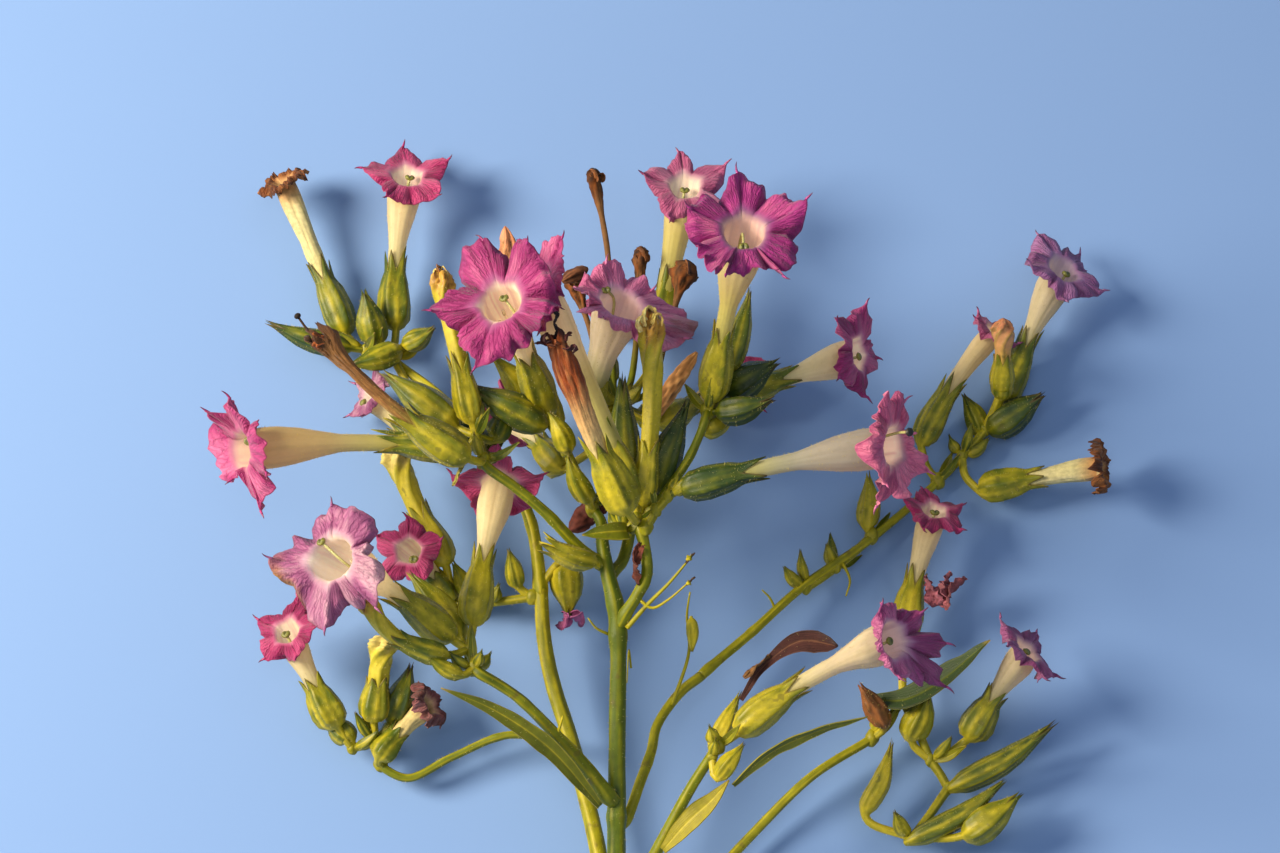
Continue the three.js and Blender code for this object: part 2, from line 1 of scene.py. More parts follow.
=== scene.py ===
# The cut flowering top of a tobacco plant, lying down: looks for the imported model.
# Everything is laid out in the same view grid as the part (x right, y down, depth
# towards the eye), in mm, then leaned back and moved as the part is, and made in metres.
import json
import math
import bpy
import numpy as np
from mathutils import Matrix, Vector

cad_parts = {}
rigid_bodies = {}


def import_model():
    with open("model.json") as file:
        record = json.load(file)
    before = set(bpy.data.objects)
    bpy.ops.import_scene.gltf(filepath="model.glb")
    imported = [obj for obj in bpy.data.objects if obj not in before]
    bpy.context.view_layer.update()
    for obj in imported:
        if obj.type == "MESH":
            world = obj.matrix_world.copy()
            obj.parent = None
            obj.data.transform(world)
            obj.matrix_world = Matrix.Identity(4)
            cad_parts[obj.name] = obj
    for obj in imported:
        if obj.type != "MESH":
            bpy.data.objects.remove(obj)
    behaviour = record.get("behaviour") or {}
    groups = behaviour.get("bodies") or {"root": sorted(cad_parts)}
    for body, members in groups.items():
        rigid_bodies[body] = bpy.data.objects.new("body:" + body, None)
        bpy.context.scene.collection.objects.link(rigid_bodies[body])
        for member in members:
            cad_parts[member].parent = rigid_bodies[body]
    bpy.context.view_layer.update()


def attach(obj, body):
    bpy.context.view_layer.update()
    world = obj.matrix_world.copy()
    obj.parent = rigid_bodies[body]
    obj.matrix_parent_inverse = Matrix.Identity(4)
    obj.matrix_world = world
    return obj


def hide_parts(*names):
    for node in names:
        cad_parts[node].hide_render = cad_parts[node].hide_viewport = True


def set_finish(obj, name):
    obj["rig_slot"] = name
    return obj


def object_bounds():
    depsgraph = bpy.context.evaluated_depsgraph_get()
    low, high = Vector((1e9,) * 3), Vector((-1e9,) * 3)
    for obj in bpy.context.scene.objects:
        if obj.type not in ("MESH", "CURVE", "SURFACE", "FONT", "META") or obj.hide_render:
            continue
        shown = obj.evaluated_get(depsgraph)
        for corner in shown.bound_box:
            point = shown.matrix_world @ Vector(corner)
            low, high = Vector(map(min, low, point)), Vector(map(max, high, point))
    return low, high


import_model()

# ---- driving dimensions (mm, as in the part) --------------------------------
GRID = 0.24
CX, CY = 640.0, 426.5
EYE = 1200.0
LEAN = math.radians(20.0)
SHIFT = np.array([-9.7482, 23.4781, 52.8697])
CALYX_LEN = 15.5          # closed part of a calyx
TEETH = 6.5               # length of its teeth
CALYX_R = 3.9
TUBE_R = 1.75
THROAT_R = 4.6
PETAL_T = 0.26            # thickness of the limb
CALYX_T = 0.4
HAIR_LEN = 0.62
HAIR_W = 0.055
RNG = np.random.default_rng(20411)

STEMS = {
    "stem_main": [[617, 1040, 0, 2.45], [616.5, 853, 0, 2.2], [617, 735, 0, 2.05], [618, 640, 0, 1.95], [615, 604, -0.5, 1.95], [608, 574, -1.5, 1.75], [603, 547, -3.5, 1.6], [601, 522, -7, 1.4], [595, 511, -7.9, 1.2]],
    "fork_right": [[619, 626, 0.6, 1.3], [626, 613, 1.5, 1.45], [637, 596, 3, 1.4], [647, 574, 4, 1.35], [645, 548, 4, 1.35], [641, 531, 4, 1.5], [637, 521, 3.1, 1.3]],
    "bough_left": [[614, 802, 1.2, 1.7], [607, 795, 2.5, 1.9], [588, 770, 5, 1.75], [560, 739, 8, 1.45], [521, 700, 10.5, 1.25], [498, 684, 11.5, 1.25], [479, 673, 12.5, 1.35], [474, 668, 11, 1.2]],
    "bough_upper_left": [[606, 568, -2, 1.4], [598, 562, -2, 1.45], [578, 546, 0, 1.35], [545, 512, 3, 1.3], [515, 487, 4.5, 1.25], [487, 467, 5.5, 1.25], [483, 461, 4, 1.15]],
    "bough_back_left": [[613, 955, -1.5, 1.8], [609, 930, -3.5, 2.1], [598, 850, -9, 2.05], [572, 745, -18, 1.95], [553, 685, -23, 1.9], [544, 640, -26, 1.8], [541, 590, -29, 1.75]],
    "bough_top_left": [[541, 596, -28.7, 1.74], [540, 582, -29.5, 1.68], [530, 520, -33, 1.5], [492, 450, -40, 1.3], [440, 396, -48, 1.2], [396, 362, -54, 1.15], [391, 355, -53, 1.05]],
    "bough_back": [[608, 580, -2.2, 1.3], [614, 571, -4.6, 1.4], [622, 562, -7, 1.45], [630, 530, -12, 1.4], [632, 480, -20, 1.35], [622, 440, -27, 1.3], [618, 412, -31, 1.25], [617, 404, -32, 1.15]],
    "bough_back_right": [[619, 828, -2, 1.2], [627, 818, -3.5, 1.3], [640, 783, -6, 1.25], [651, 752, -9, 1.2], [657, 726, -12, 1.2], [681, 692, -17, 1.2], [701, 676, -20, 1.25]],
    "bough_far_right": [[701, 676, -20, 1.2], [706, 671, -21, 1.2], [752, 632, -27, 1.15], [801, 588, -34, 1.1], [868, 541, -41, 1.05], [932, 487, -48, 1.0], [938, 481, -49, 1.0]],
    "bough_front_right": [[617, 930, 1.5, 1.4], [622, 915, 2.8, 1.5], [641, 880, 5, 1.5], [659, 847, 7, 1.45], [690, 790, 9, 1.3], [716, 748, 10.5, 1.15], [718, 744, 11, 1.05]],
    "bough_low_right": [[617, 996, -1.5, 1.2], [622, 985, -2.5, 1.3], [680, 915, -8, 1.2], [745, 842, -14, 1.15], [812, 776, -17, 1.1], [866, 742, -20.5, 1.1], [873, 737, -21, 1.05]],
    "bough_low_left": [[568, 744, -18.6, 1.0], [560, 742, -19, 1.0], [508, 735, -20, 0.95], [452, 757, -20, 0.95], [408, 778, -19, 1.0], [384, 768, -19, 1.1], [380, 763, -19.5, 1.05]],
    "bough_right_up": [[646, 514, 2, 1.1], [654, 506, 2, 1.1], [672, 484, 1, 1.1], [688, 460, 0, 1.05], [699, 437, -1, 1.05], [706, 418, -1.5, 1.05], [707, 411, -4, 1.0]],
}

# kind of limb, and the outline where it is known: (x, y, lift mm, t tip / n notch / r round)
# the glow value of a bloom sets how strongly its throat glows: painted light
BLOOMS = {
    "bloom_01": dict(base=(548, 416, -12), bend=(530, 360, 0), throat=(502, 304, 21), face=(-0.32, 0.46, 0.83), r=17.6, turn=100, kind="star", look="fresh", fine=1, amp=1.6, calyx=20.0, painted_glow=1.7,
                     outline=[(486, 233.5, 2.4, "t"), (496, 247, 1.4, "r"), (507, 254, 1.0, "r"), (511, 266, -0.8, "n"), (513, 250, 1.4, "r"), (522.5, 237, 3.0, "r"), (531, 243, 2.4, "r"), (539, 243.5, 3.6, "t"), (546, 262, 1.4, "r"), (557, 284, 0.4, "r"), (557, 297, -0.8, "n"), (560, 310, 1.2, "r"), (553, 328, 2.2, "t"), (541, 331, 0.4, "r"), (531.5, 336, -0.9, "n"), (529, 347, 0.4, "r"), (516, 349, -0.2, "r"), (511, 357, 0.8, "r"), (497, 359, 0.6, "r"), (477, 361, 1.0, "r"), (472.5, 376, 1.8, "t"), (465, 353, 0.6, "r"), (458, 340, 0.2, "r"), (458, 330, -0.9, "n"), (448, 327, 0.4, "r"), (438, 317, 1.0, "r"), (423.5, 317.5, 1.8, "t"), (431, 311, 0.8, "r"), (441, 298, 0.4, "r"), (455, 290, 0.2, "r"), (466, 283, -1.2, "n"), (458, 276, 0.2, "r"), (459, 266, 0.6, "r"), (474, 248, 1.4, "r")],
                     stigma=(504, 298), style_to=(516, 315)),
    "bloom_02": dict(base=(634, 500, 3), bend=(588, 390, 5), throat=(539, 287, 6), face=(-0.62, 0.42, 0.66), r=14.5, turn=60, kind="star", look="fresh", fine=1, amp=1.5, slim=2.7, green_to=0.86,
                     outline=[(531, 247, 2.0, "t"), (541, 252, 0.4, "n"), (553, 243, 1.6, "r"), (571.5, 232.5, 2.5, "t"), (566, 255, 1.0, "r"), (565, 277, 0.4, "r"), (559, 292, 0.0, "n"), (560, 306, -1, "t"), (550, 318, 0, "n"), (540, 338, -1, "t"), (524, 316, 0, "n"), (508, 306, 0, "t"), (510, 280, 0, "n")]),
    "bloom_03": dict(base=(711, 402, -3), bend=(722, 330, 1), throat=(744, 234, 17.3), face=(0.05, 0.58, 0.81), r=16.8, turn=98, kind="star", look="fresh3", fine=1, amp=1.0, green_to=0.9, painted_glow=0.6,
                     outline=[(737, 168, 2.6, "t"), (726, 190, 1.2, "r"), (716.5, 201, -0.6, "n"), (707, 195, 1.0, "r"), (695, 198, 1.4, "r"), (681, 210, 1.8, "t"), (684, 226, 0.8, "r"), (688, 240, 0.2, "r"), (696, 245, -0.9, "n"), (697, 253, 0.2, "r"), (702, 265, 0.6, "r"), (711, 281, 1.0, "r"), (718.6, 290, 1.8, "t"), (721.5, 275, 0.4, "r"), (728, 271, -0.9, "n"), (732, 279, 0.2, "r"), (742, 279.5, 0.4, "r"), (747, 275, 0.2, "r"), (755, 280, 0.4, "t"), (764, 279, 0.2, "r"), (769, 271, -0.8, "n"), (777, 270.5, 0.2, "r"), (786, 273, 0.8, "r"), (789.5, 286, 2.0, "t"), (795, 264, 1.0, "r"), (799, 248, 0.6, "r"), (794, 237, -0.9, "n"), (803, 230, 0.6, "r"), (805, 213, 1.6, "r"), (814.5, 208, 2.8, "t"), (795, 201, 1.8, "r"), (781, 192, 1.2, "r"), (768.5, 194, -0.7, "n"), (762, 183, 1.2, "r"), (748, 176, 1.8, "r")],
                     stigma=(744, 247), style_to=(742, 234)),
    "bloom_04": dict(base=(680, 490, 8), bend=(776, 461, 11), throat=(889, 446, 12), face=(0.86, -0.05, 0.50), r=15.5, turn=82, kind="star", look="fresh4", fine=1, amp=1.5, mouth=4.2,
                     outline=[(928, 475, 4.5, "t"), (918, 452, 4.2, "r"), (907, 429, 2.6, "n"), (912, 392.5, 3.5, "t"), (902, 389.5, 2.6, "r"), (892, 397, 0.8, "n"), (881, 391.5, 0.4, "r"), (872, 402, -1.0, "t"), (874, 424, -0.6, "n"), (863.5, 450, -1.2, "r"), (871, 491, -0.4, "t"), (884, 483, 1.0, "n"), (886, 503, -0.4, "r"), (876.5, 517, -1.6, "t"), (900, 500, 1.6, "r"), (899, 490, 2.4, "n"), (914, 487.5, 3.6, "r")],
                     stigma=(909.5, 432), style_to=(893, 434), dark_stigma=1),
    "bloom_05": dict(base=(453, 640, 8), bend=(402, 590, 13), throat=(333, 560, 26), face=(-0.38, 0.40, 0.83), r=14.8, turn=86, kind="star", look="pale", fine=1, amp=1.6, mouth=5.1, painted_glow=1.5,
                     outline=[(331.5, 496, 2.6, "t"), (343, 506, 2.2, "r"), (361, 507.5, 2.6, "r"), (370, 513, 2.0, "r"), (377, 528, 0.8, "r"), (374, 542, -0.4, "r"), (357, 551, -1.2, "n"), (366, 553.5, 0.4, "r"), (379.5, 561, 0.8, "r"), (382, 572, 0.2, "r"), (375, 612, 1.4, "t"), (361, 595, 0.4, "r"), (352, 605, 0.8, "r"), (343, 602, -0.9, "n"), (331, 614, 0.4, "r"), (323, 637, 1.6, "t"), (309, 621, 0.8, "r"), (300, 607, -0.9, "n"), (292.5, 588, 0.9, "r"), (283, 583, 1.4, "r"), (274, 571, 1.0, "r"), (268, 563.5, 0.8, "t"), (277, 552, 1.4, "r"), (293, 542, 0.9, "r"), (308, 536.5, -1.2, "n"), (322, 508, 2.2, "r")],
                     stigma=(321, 541.7), style_to=(347, 564.6), burn=(210, 0.50, (178, 130, 56), 0.62, 0.95)),
    "bloom_06": dict(base=(473, 626, 4), bend=(481, 560, -1), throat=(499, 486, -12), face=(0.12, 0.62, -0.78), r=12.5, turn=90, kind="star", look="fresh2"),
    "bloom_07": dict(base=(463, 449, -1), bend=(366, 436, 1), throat=(245, 450, 4), face=(-0.86, -0.02, 0.51), r=15.5, turn=74, kind="star", look="fresh7", fine=1, amp=1.5, mouth=4.2,
                     outline=[(240.5, 388, 2.0, "t"), (256, 418, 0.4, "r"), (252, 433, -0.4, "n"), (271, 443, -1.4, "r"), (273, 460, -1.4, "r"), (280, 474, -0.8, "t"), (261, 474, 0.2, "n"), (271, 487, -0.6, "r"), (262, 503, 0.2, "r"), (264, 520, 1.0, "t"), (247, 494, 1.8, "n"), (230, 480.5, 3.6, "t"), (235, 464, 3.2, "r"), (236, 449, 2.2, "n"), (211, 423, 4.4, "r"), (214, 405, 4.8, "t"), (226, 411, 3.2, "n")],
                     stigma=(248, 441), style_to=(251, 445)),
    "bloom_08": dict(base=(396, 330, -57), bend=(391, 260, -62), throat=(407, 178, -66), face=(0.12, 0.72, 0.68), r=12.2, turn=92, kind="star", look="fresh2"),
    "bloom_09": dict(base=(584, 418, -31), bend=(596, 370, -27), throat=(620, 307, -18), face=(0.36, 0.72, 0.60), r=15.5, turn=60, kind="star", look="bell", fine=1, slim=3.0, mouth=5.0, painted_glow=0.45, amp=1.9, burn=(-32, 0.42, (146, 92, 78), 0.35, 0.85),
                     outline=[(598, 265, 1.6, "t"), (590, 272, 1.2, "r"), (585, 281, -0.4, "n"), (576, 283, 0.8, "r"), (567, 293, 1.6, "t"), (576, 309, 0.8, "r"), (588, 311, -0.6, "n"), (592, 322, 0.4, "r"), (598, 333, 1.2, "t"), (615, 334, 0.0, "r"), (634, 336, -0.8, "n"), (652, 350, 0.2, "r"), (672, 354, 0.8, "r"), (689, 352, 1.4, "t"), (697, 332, 0.8, "r"), (684, 307, -0.4, "n"), (672, 298, 0.8, "r"), (658, 287, 1.6, "t"), (640, 282, 0.8, "r"), (624, 280, -0.6, "n"), (612, 270, 1.0, "r")],
                     stigma=(606, 290), style_to=(614, 300)),
    "bloom_10": dict(base=(660, 350, -40), bend=(668, 270, -46), throat=(685, 188, -50), face=(0.05, 0.6, 0.8), r=12.0, turn=96, kind="star", look="mauve2", green_to=1.0, slim=2.2),
    "bloom_11": dict(base=(722, 398, -19), bend=(788, 378, -25), throat=(856, 354, -31), face=(0.9, 0.12, 0.42), r=13.0, turn=66, kind="star", look="fresh"),
    "bloom_12": dict(base=(1003, 404, -55), bend=(1022, 345, -58), throat=(1062, 271, -57.5), face=(0.46, 0.62, 0.63), r=13.0, turn=100, kind="star", look="lilac", painted_glow=0.2),
    "bloom_13": dict(base=(921, 446, -49), bend=(946, 385, -52), throat=(994, 332, -53), face=(0.55, 0.72, 0.42), r=7.6, turn=90, kind="star", look="mauve2"),
    "bloom_14": dict(base=(978, 490, -44), bend=(1040, 476, -42), throat=(1098, 468, -39), face=(0.97, 0.1, 0.2), r=10.0, turn=80, kind="wilt", look="rust"),
    "bloom_15": dict(base=(904, 640, -27), bend=(912, 580, -31), throat=(934, 512, -34), face=(0.15, 0.8, 0.58), r=9.6, turn=90, kind="star", look="fresh2"),
    "bloom_16": dict(base=(737, 734, 11), bend=(790, 680, 12), throat=(890, 640, 14), face=(0.74, 0.12, 0.66), r=12.6, turn=70, kind="star", look="pink", fine=1, amp=1.4, mouth=4.2, slim=1.75, late=0.11, painted_glow=0.3,
                     outline=[(877, 596, 1.0, "t"), (888, 602, 1.4, "r"), (898, 609, 0.2, "n"), (908, 607, 1.6, "r"), (919, 608, 2.2, "t"), (920, 622, 1.6, "r"), (918, 632, 0.8, "n"), (934, 636, 2.4, "r"), (947, 644, 2.6, "t"), (944, 655, 1.6, "r"), (931, 658, 0.8, "n"), (942, 668, 1.2, "r"), (951, 692, 1.6, "t"), (935, 682, 1.0, "r"), (924, 674, 0.0, "n"), (908, 678, 0.2, "r"), (890, 687, -0.2, "t"), (884, 670, -0.6, "r"), (880, 652, -0.9, "n"), (882, 634, -0.6, "r"), (878, 612, 0.2, "r")]),
    "bloom_17": dict(base=(448, 606, -34), bend=(432, 566, -34), throat=(409, 551, -24), face=(-0.2, 0.14, 0.96), r=9.6, turn=84, kind="star", look="fresh2"),
    "bloom_18": dict(base=(427, 448, -46), bend=(402, 428, -48), throat=(370, 396, -49), face=(-0.74, 0.52, 0.43), r=8.2, turn=90, kind="star", look="pale"),
    "bloom_19": dict(base=(967, 740, -18), bend=(990, 700, -18), throat=(1026, 652, -17), face=(0.66, 0.66, 0.36), r=11.0, turn=94, kind="star", look="mauve"),
    "bloom_20": dict(base=(338, 728, -18), bend=(316, 690, -19), throat=(288, 632, -18), face=(-0.4, 0.45, 0.8), r=10.0, turn=90, kind="star", look="fresh2"),
    "bloom_21": dict(base=(347, 336, -60), bend=(318, 262, -64), throat=(284, 184, -67), face=(-0.4, 0.85, 0.34), r=9.2, turn=90, kind="wilt", look="rust"),
    "bloom_22": dict(base=(378, 760, -17), bend=(398, 730, -18), throat=(428, 706, -18), face=(0.82, 0.42, 0.39), r=8.0, turn=90, kind="wilt", look="dusk"),
    "bloom_23": dict(base=(629, 513, 13), bend=(594, 448, 18), throat=(556, 338, 23), face=(-0.25, 0.96, 0.1), r=3.6, turn=90, kind="dry", look="rust"),
    "bloom_24": dict(base=(469, 459, 11), bend=(400, 424, 14), throat=(322, 338, 16), face=(-0.75, 0.64, 0.1), r=3.6, turn=90, kind="dry", look="umber"),
    "bloom_25": dict(base=(563, 470, -30), bend=(536, 440, -37), throat=(510, 410, -43), face=(-0.45, 0.2, -0.87), r=12.0, turn=90, kind="star", look="fresh"),
    "bloom_26": dict(base=(660, 424, -31), bend=(694, 404, -42), throat=(736, 380, -50.0), face=(0.66, 0.1, -0.74), r=11.0, turn=90, kind="star", look="fresh2"),
    "bloom_27": dict(base=(600, 392, -38), bend=(606, 352, -48), throat=(622, 312, -56), face=(0.15, 0.72, -0.68), r=10.5, turn=90, kind="star", look="fresh"),
}

# clusters: joints (hub first), calyces of which blooms, and buds:
# (kind, points, radius mm, green 0 yellowish .. 1 dark)
MASSES = {
    "cluster_centre": dict(joints=[(636, 520, 3), (624, 532, 2)], blooms=["bloom_02", "bloom_23"], buds=[
        ("tube", [(641, 507, 2), (652, 402, 3), (650, 312, 4)], 2.8, 0.22), ("calyx", [(630, 508, -4), (624, 440, -6), (622, 372, -7)], 3.9, 0.62),
        ("calyx", [(652, 500, -3), (668, 452, -2), (689, 398, -3)], 3.9, 0.85), ("leaf", [(626, 531, 6), (606, 532, 9), (582, 535, 10)], 2.4, 0.5)]),
    "cluster_inner_left": dict(joints=[(592, 508, -8), (566, 450, -5), (546, 418, -8)], blooms=["bloom_01"], buds=[
        ("calyx", [(540, 410, -12), (516, 380, -10), (489, 352, -8)], 3.4, 0.25), ("calyx", [(546, 424, -7), (508, 408, -4), (466, 383, -2)], 4.2, 0.6),
        ("calyx", [(568, 452, -3), (560, 430, -1), (548, 410, 0)], 2.6, 0.3), ("calyx", [(590, 502, -5), (576, 478, -1), (566, 452, 1)], 2.6, 0.3), ("peach", [(556, 430, -14), (524, 330, -15), (505, 226, -14)], 2.2, 0.2)]),
    "cluster_upper_left": dict(joints=[(483, 461, 4), (476, 436, 0)], blooms=["bloom_24", "bloom_07"], buds=[
        ("calyx", [(458, 428, -3), (424, 402, -4), (379, 370, -6)], 4.2, 0.45), ("tube", [(473, 424, 0), (455, 342, -1), (439, 270, -2)], 2.6, 0.3),
        ("calyx", [(494, 440, -4), (502, 424, -5), (508, 408, -6)], 2.8, 0.7), ("calyx", [(474, 446, -9), (464, 424, -13), (452, 396, -16)], 3.4, 0.8),
        ("calyx", [(486, 452, -8), (492, 436, -14), (500, 414, -18)], 3.0, 0.85)]),
    "cluster_left": dict(joints=[(474, 668, 11), (468, 650, 8)], blooms=["bloom_05", "bloom_06"], buds=[
        ("calyx", [(462, 640, 1), (438, 606, -2), (408, 571, -4)], 3.9, 0.4), ("tube", [(447, 655, 13), (394, 636, 17), (361, 595, 19)], 2.3, 0.5),
        ("calyx", [(463, 675, 14), (444, 668, 15), (424, 654, 17)], 1.9, 0.4)]),
    "cluster_top_left": dict(joints=[(392, 356, -53), (366, 350, -55)], blooms=["bloom_08", "bloom_21", "bloom_18"], buds=[
        ("calyx", [(374, 346, -54), (370, 318, -53), (363, 288, -52)], 3.6, 0.6), ("calyx", [(352, 348, -54), (306, 338, -54), (264, 321, -53)], 3.1, 0.75),
        ("calyx", [(400, 350, -50), (374, 360, -47), (346, 366, -44)], 3.2, 0.55), ("calyx", [(404, 346, -50), (420, 338, -48), (436, 326, -46)], 2.6, 0.5)]),
    "cluster_back": dict(joints=[(617, 404, -32)], blooms=["bloom_09", "bloom_10", "bloom_25", "bloom_26", "bloom_27"], buds=[
        ("dead", [(614, 392, -37), (608, 256, -46), (592, 168, -50)], 2.0, 0.5), ("dead", [(630, 384, -40), (638, 320, -42), (641, 246, -44)], 2.0, 0.4),
        ("dead", [(648, 392, -38), (668, 330, -40), (688, 260, -42)], 3.2, 0.4), ("dead", [(606, 392, -36), (590, 330, -40), (571, 272, -42)], 2.2, 0.4),
        ("strip", [(654, 420, -30), (672, 388, -27), (697, 352, -25)], 1.9, 0.4), ("calyx", [(640, 414, -40), (656, 418, -45), (672, 420, -50)], 3.2, 0.6)]),
    "cluster_upper_right": dict(joints=[(707, 411, -4), (716, 400, -8)], blooms=["bloom_03", "bloom_11"], buds=[
        ("calyx", [(729, 372, -7), (742, 326, -8), (751, 286, -8)], 2.7, 0.5), ("calyx", [(722, 396, -10), (752, 376, -8), (781, 360, -6)], 4.0, 0.95),
        ("calyx", [(716, 412, -4), (746, 408, -1), (776, 398, 2)], 3.3, 0.9), ("calyx", [(703, 430, -6), (720, 424, -8), (738, 416, -9)], 2.6, 0.2)]),
    "cluster_right": dict(joints=[(646, 527, 5.4), (656, 510, 6.5), (668, 496, 7.4)], blooms=["bloom_04"], buds=[]),
    "cluster_far_right": dict(joints=[(938, 481, -49), (962, 456, -49), (985, 430, -52)], blooms=["bloom_12", "bloom_13", "bloom_14"], buds=[
        ("calyx", [(988, 432, -52), (1018, 412, -50), (1046, 392, -47)], 4.0, 0.85), ("calyx", [(984, 436, -53), (974, 414, -54), (962, 392, -54)], 2.6, 0.5),
        ("calyx", [(1000, 400, -50), (1002, 376, -48), (1001, 352, -46)], 2.8, 0.4), ("peach", [(1000, 392, -49), (1003, 354, -45), (1003, 318, -44)], 2.5, 0.2)]),
    "cluster_mid_right": dict(joints=[(872, 536, -42), (836, 567, -38), (806, 588, -35)], blooms=[], buds=[
        ("calyx", [(868, 530, -42), (870, 500, -43), (868, 470, -44)], 2.7, 0.15), ("calyx", [(834, 566, -40), (830, 554, -39), (826, 542, -38)], 1.7, 0.3),
        ("calyx", [(806, 582, -36), (802, 566, -34), (800, 548, -33)], 1.3, 0.3)]),
    "cluster_lower_right": dict(joints=[(718, 745, 11), (712, 757, 10.5)], blooms=["bloom_16"], buds=[
        ("calyx", [(712, 752, 8), (726, 722, 6), (741, 690, 4)], 2.2, 0.1), ("calyx", [(716, 778, 12), (730, 762, 13), (745, 742, 14)], 2.2, 0.2)]),
    "cluster_low_right": dict(joints=[(872, 738, -21), (903, 700, -22), (930, 760, -19), (948, 788, -17), (912, 838, -13)], blooms=["bloom_15", "bloom_19"], buds=[
        ("husk", [(884, 728, -19), (872, 704, -17), (858, 682, -15)], 2.8, 0.3), ("calyx", [(866, 818, -15), (882, 780, -16), (893, 738, -18)], 2.3, 0.1),
        ("calyx", [(912, 742, -19), (922, 716, -18), (930, 690, -16)], 3.6, 0.2), ("calyx", [(948, 790, -16), (1006, 760, -16), (1056, 722, -15)], 2.9, 0.55),
        ("calyx", [(906, 842, -12), (960, 816, -11), (1008, 778, -11)], 2.6, 0.5), ("calyx", [(962, 836, -10), (996, 814, -9), (1022, 792, -9)], 4.0, 0.3)]),
    "cluster_mid_left": dict(joints=[(533, 597, -29), (488, 603, -31), (452, 604, -34)], blooms=["bloom_17"], buds=[
        ("plain", [(446, 566, -33), (416, 506, -35), (391, 444, -36)], 3.1, 0.1), ("calyx", [(470, 600, -33), (462, 580, -32), (452, 560, -30)], 2.4, 0.3),
        ("calyx", [(520, 588, -29), (514, 568, -28), (508, 548, -26)], 2.2, 0.3), ("calyx", [(562, 562, -30), (568, 590, -30), (568, 620, -30)], 4.0, 0.3)]),
    "cluster_low_left": dict(joints=[(381, 764, -19.5), (376, 742, -19.5), (352, 748, -20)], blooms=["bloom_20", "bloom_22"], buds=[
        ("plain", [(374, 722, -18), (378, 680, -17), (384, 636, -16)], 3.1, 0.35), ("calyx", [(390, 724, -20), (402, 694, -20), (412, 662, -20)], 3.4, 0.7),
        ("calyx", [(352, 742, -20), (338, 728, -21), (322, 716, -22)], 3.0, 0.5)]),
}

BRACTS = {
    "bract_left": dict(line=[(600, 806, 4.5), (548, 747, 12), (492, 709, 16), (441, 688, 18)], half=2.3, face=(0.3, -0.2, 0.93), green=0.5),
    "bract_right": dict(line=[(733, 785, 13), (772, 752, 15), (818, 731, 16), (868, 717, 16)], half=1.6, face=(0.3, -0.5, 0.8), green=0.55),
    "bract_lower": dict(line=[(663, 850, 10.5), (688, 822, 13), (712, 800, 14), (729, 780, 15)], half=2.7, face=(-0.3, 0.2, 0.93), green=0.26),
    "bract_dark": dict(line=[(873, 700, -21), (905, 700, -17), (940, 682, -14), (990, 640, -11)], half=4.4, face=(0.2, 0.6, 0.77), green=0.9),
    "bract_brown": dict(line=[(741, 700, 5), (762, 668, 6), (800, 641, 8), (838, 646, 9)], half=2.7, face=(0.2, 0.3, 0.93), green=-1),
}


# ---- small helpers -----------------------------------------------------------
def lin(r, g, b):
    c = np.array([r, g, b], float) / 255.0
    return np.where(c <= 0.04045, c / 12.92, ((c + 0.055) / 1.055) ** 2.4)


def at(x, y, d):
    k = GRID * (EYE - d) / EYE
    return np.array([(x - CX) * k, (CY - y) * k, d], float)


def unit(v):
    v = np.asarray(v, float)
    return v / np.linalg.norm(v)


def to_world(P):
    c, s = math.cos(LEAN), math.sin(LEAN)
    x, y, z = P[:, 0], P[:, 1], P[:, 2]
    return (np.stack([x, y * c - z * s, y * s + z * c], 1) + SHIFT) * 0.001


def step(lo, hi, x):
    t = np.clip((np.asarray(x, float) - lo) / (hi - lo), 0, 1)
    return t * t * (3 - 2 * t)


def mixc(a, b, t):
    t = np.asarray(t, float)[..., None]
    return np.asarray(a) * (1 - t) + np.asarray(b) * t


def noise(P, scale, seed=0):
    """Smooth value noise in -1..1 for points (..., 3)."""
    Q = np.asarray(P, float) / scale
    I = np.floor(Q).astype(np.int64)
    F = Q - I
    F = F * F * (3 - 2 * F)
    out = 0.0
    for dx in (0, 1):
        for dy in (0, 1):
            for dz in (0, 1):
                n = ((I[..., 0] + dx) * 73856093) ^ ((I[..., 1] + dy) * 19349663) ^ ((I[..., 2] + dz) * 83492791) ^ (seed * 9781 + 77)
                n = (n ^ (n >> 13)) & 0x7fffffff
                n = (n * 1274126177) & 0x7fffffff
                n = n ^ (n >> 15)
                w = (F[..., 0] if dx else 1 - F[..., 0]) * (F[..., 1] if dy else 1 - F[..., 1]) * (F[..., 2] if dz else 1 - F[..., 2])
                out = out + w * ((n & 0xffff) / 32767.5 - 1)
    return out


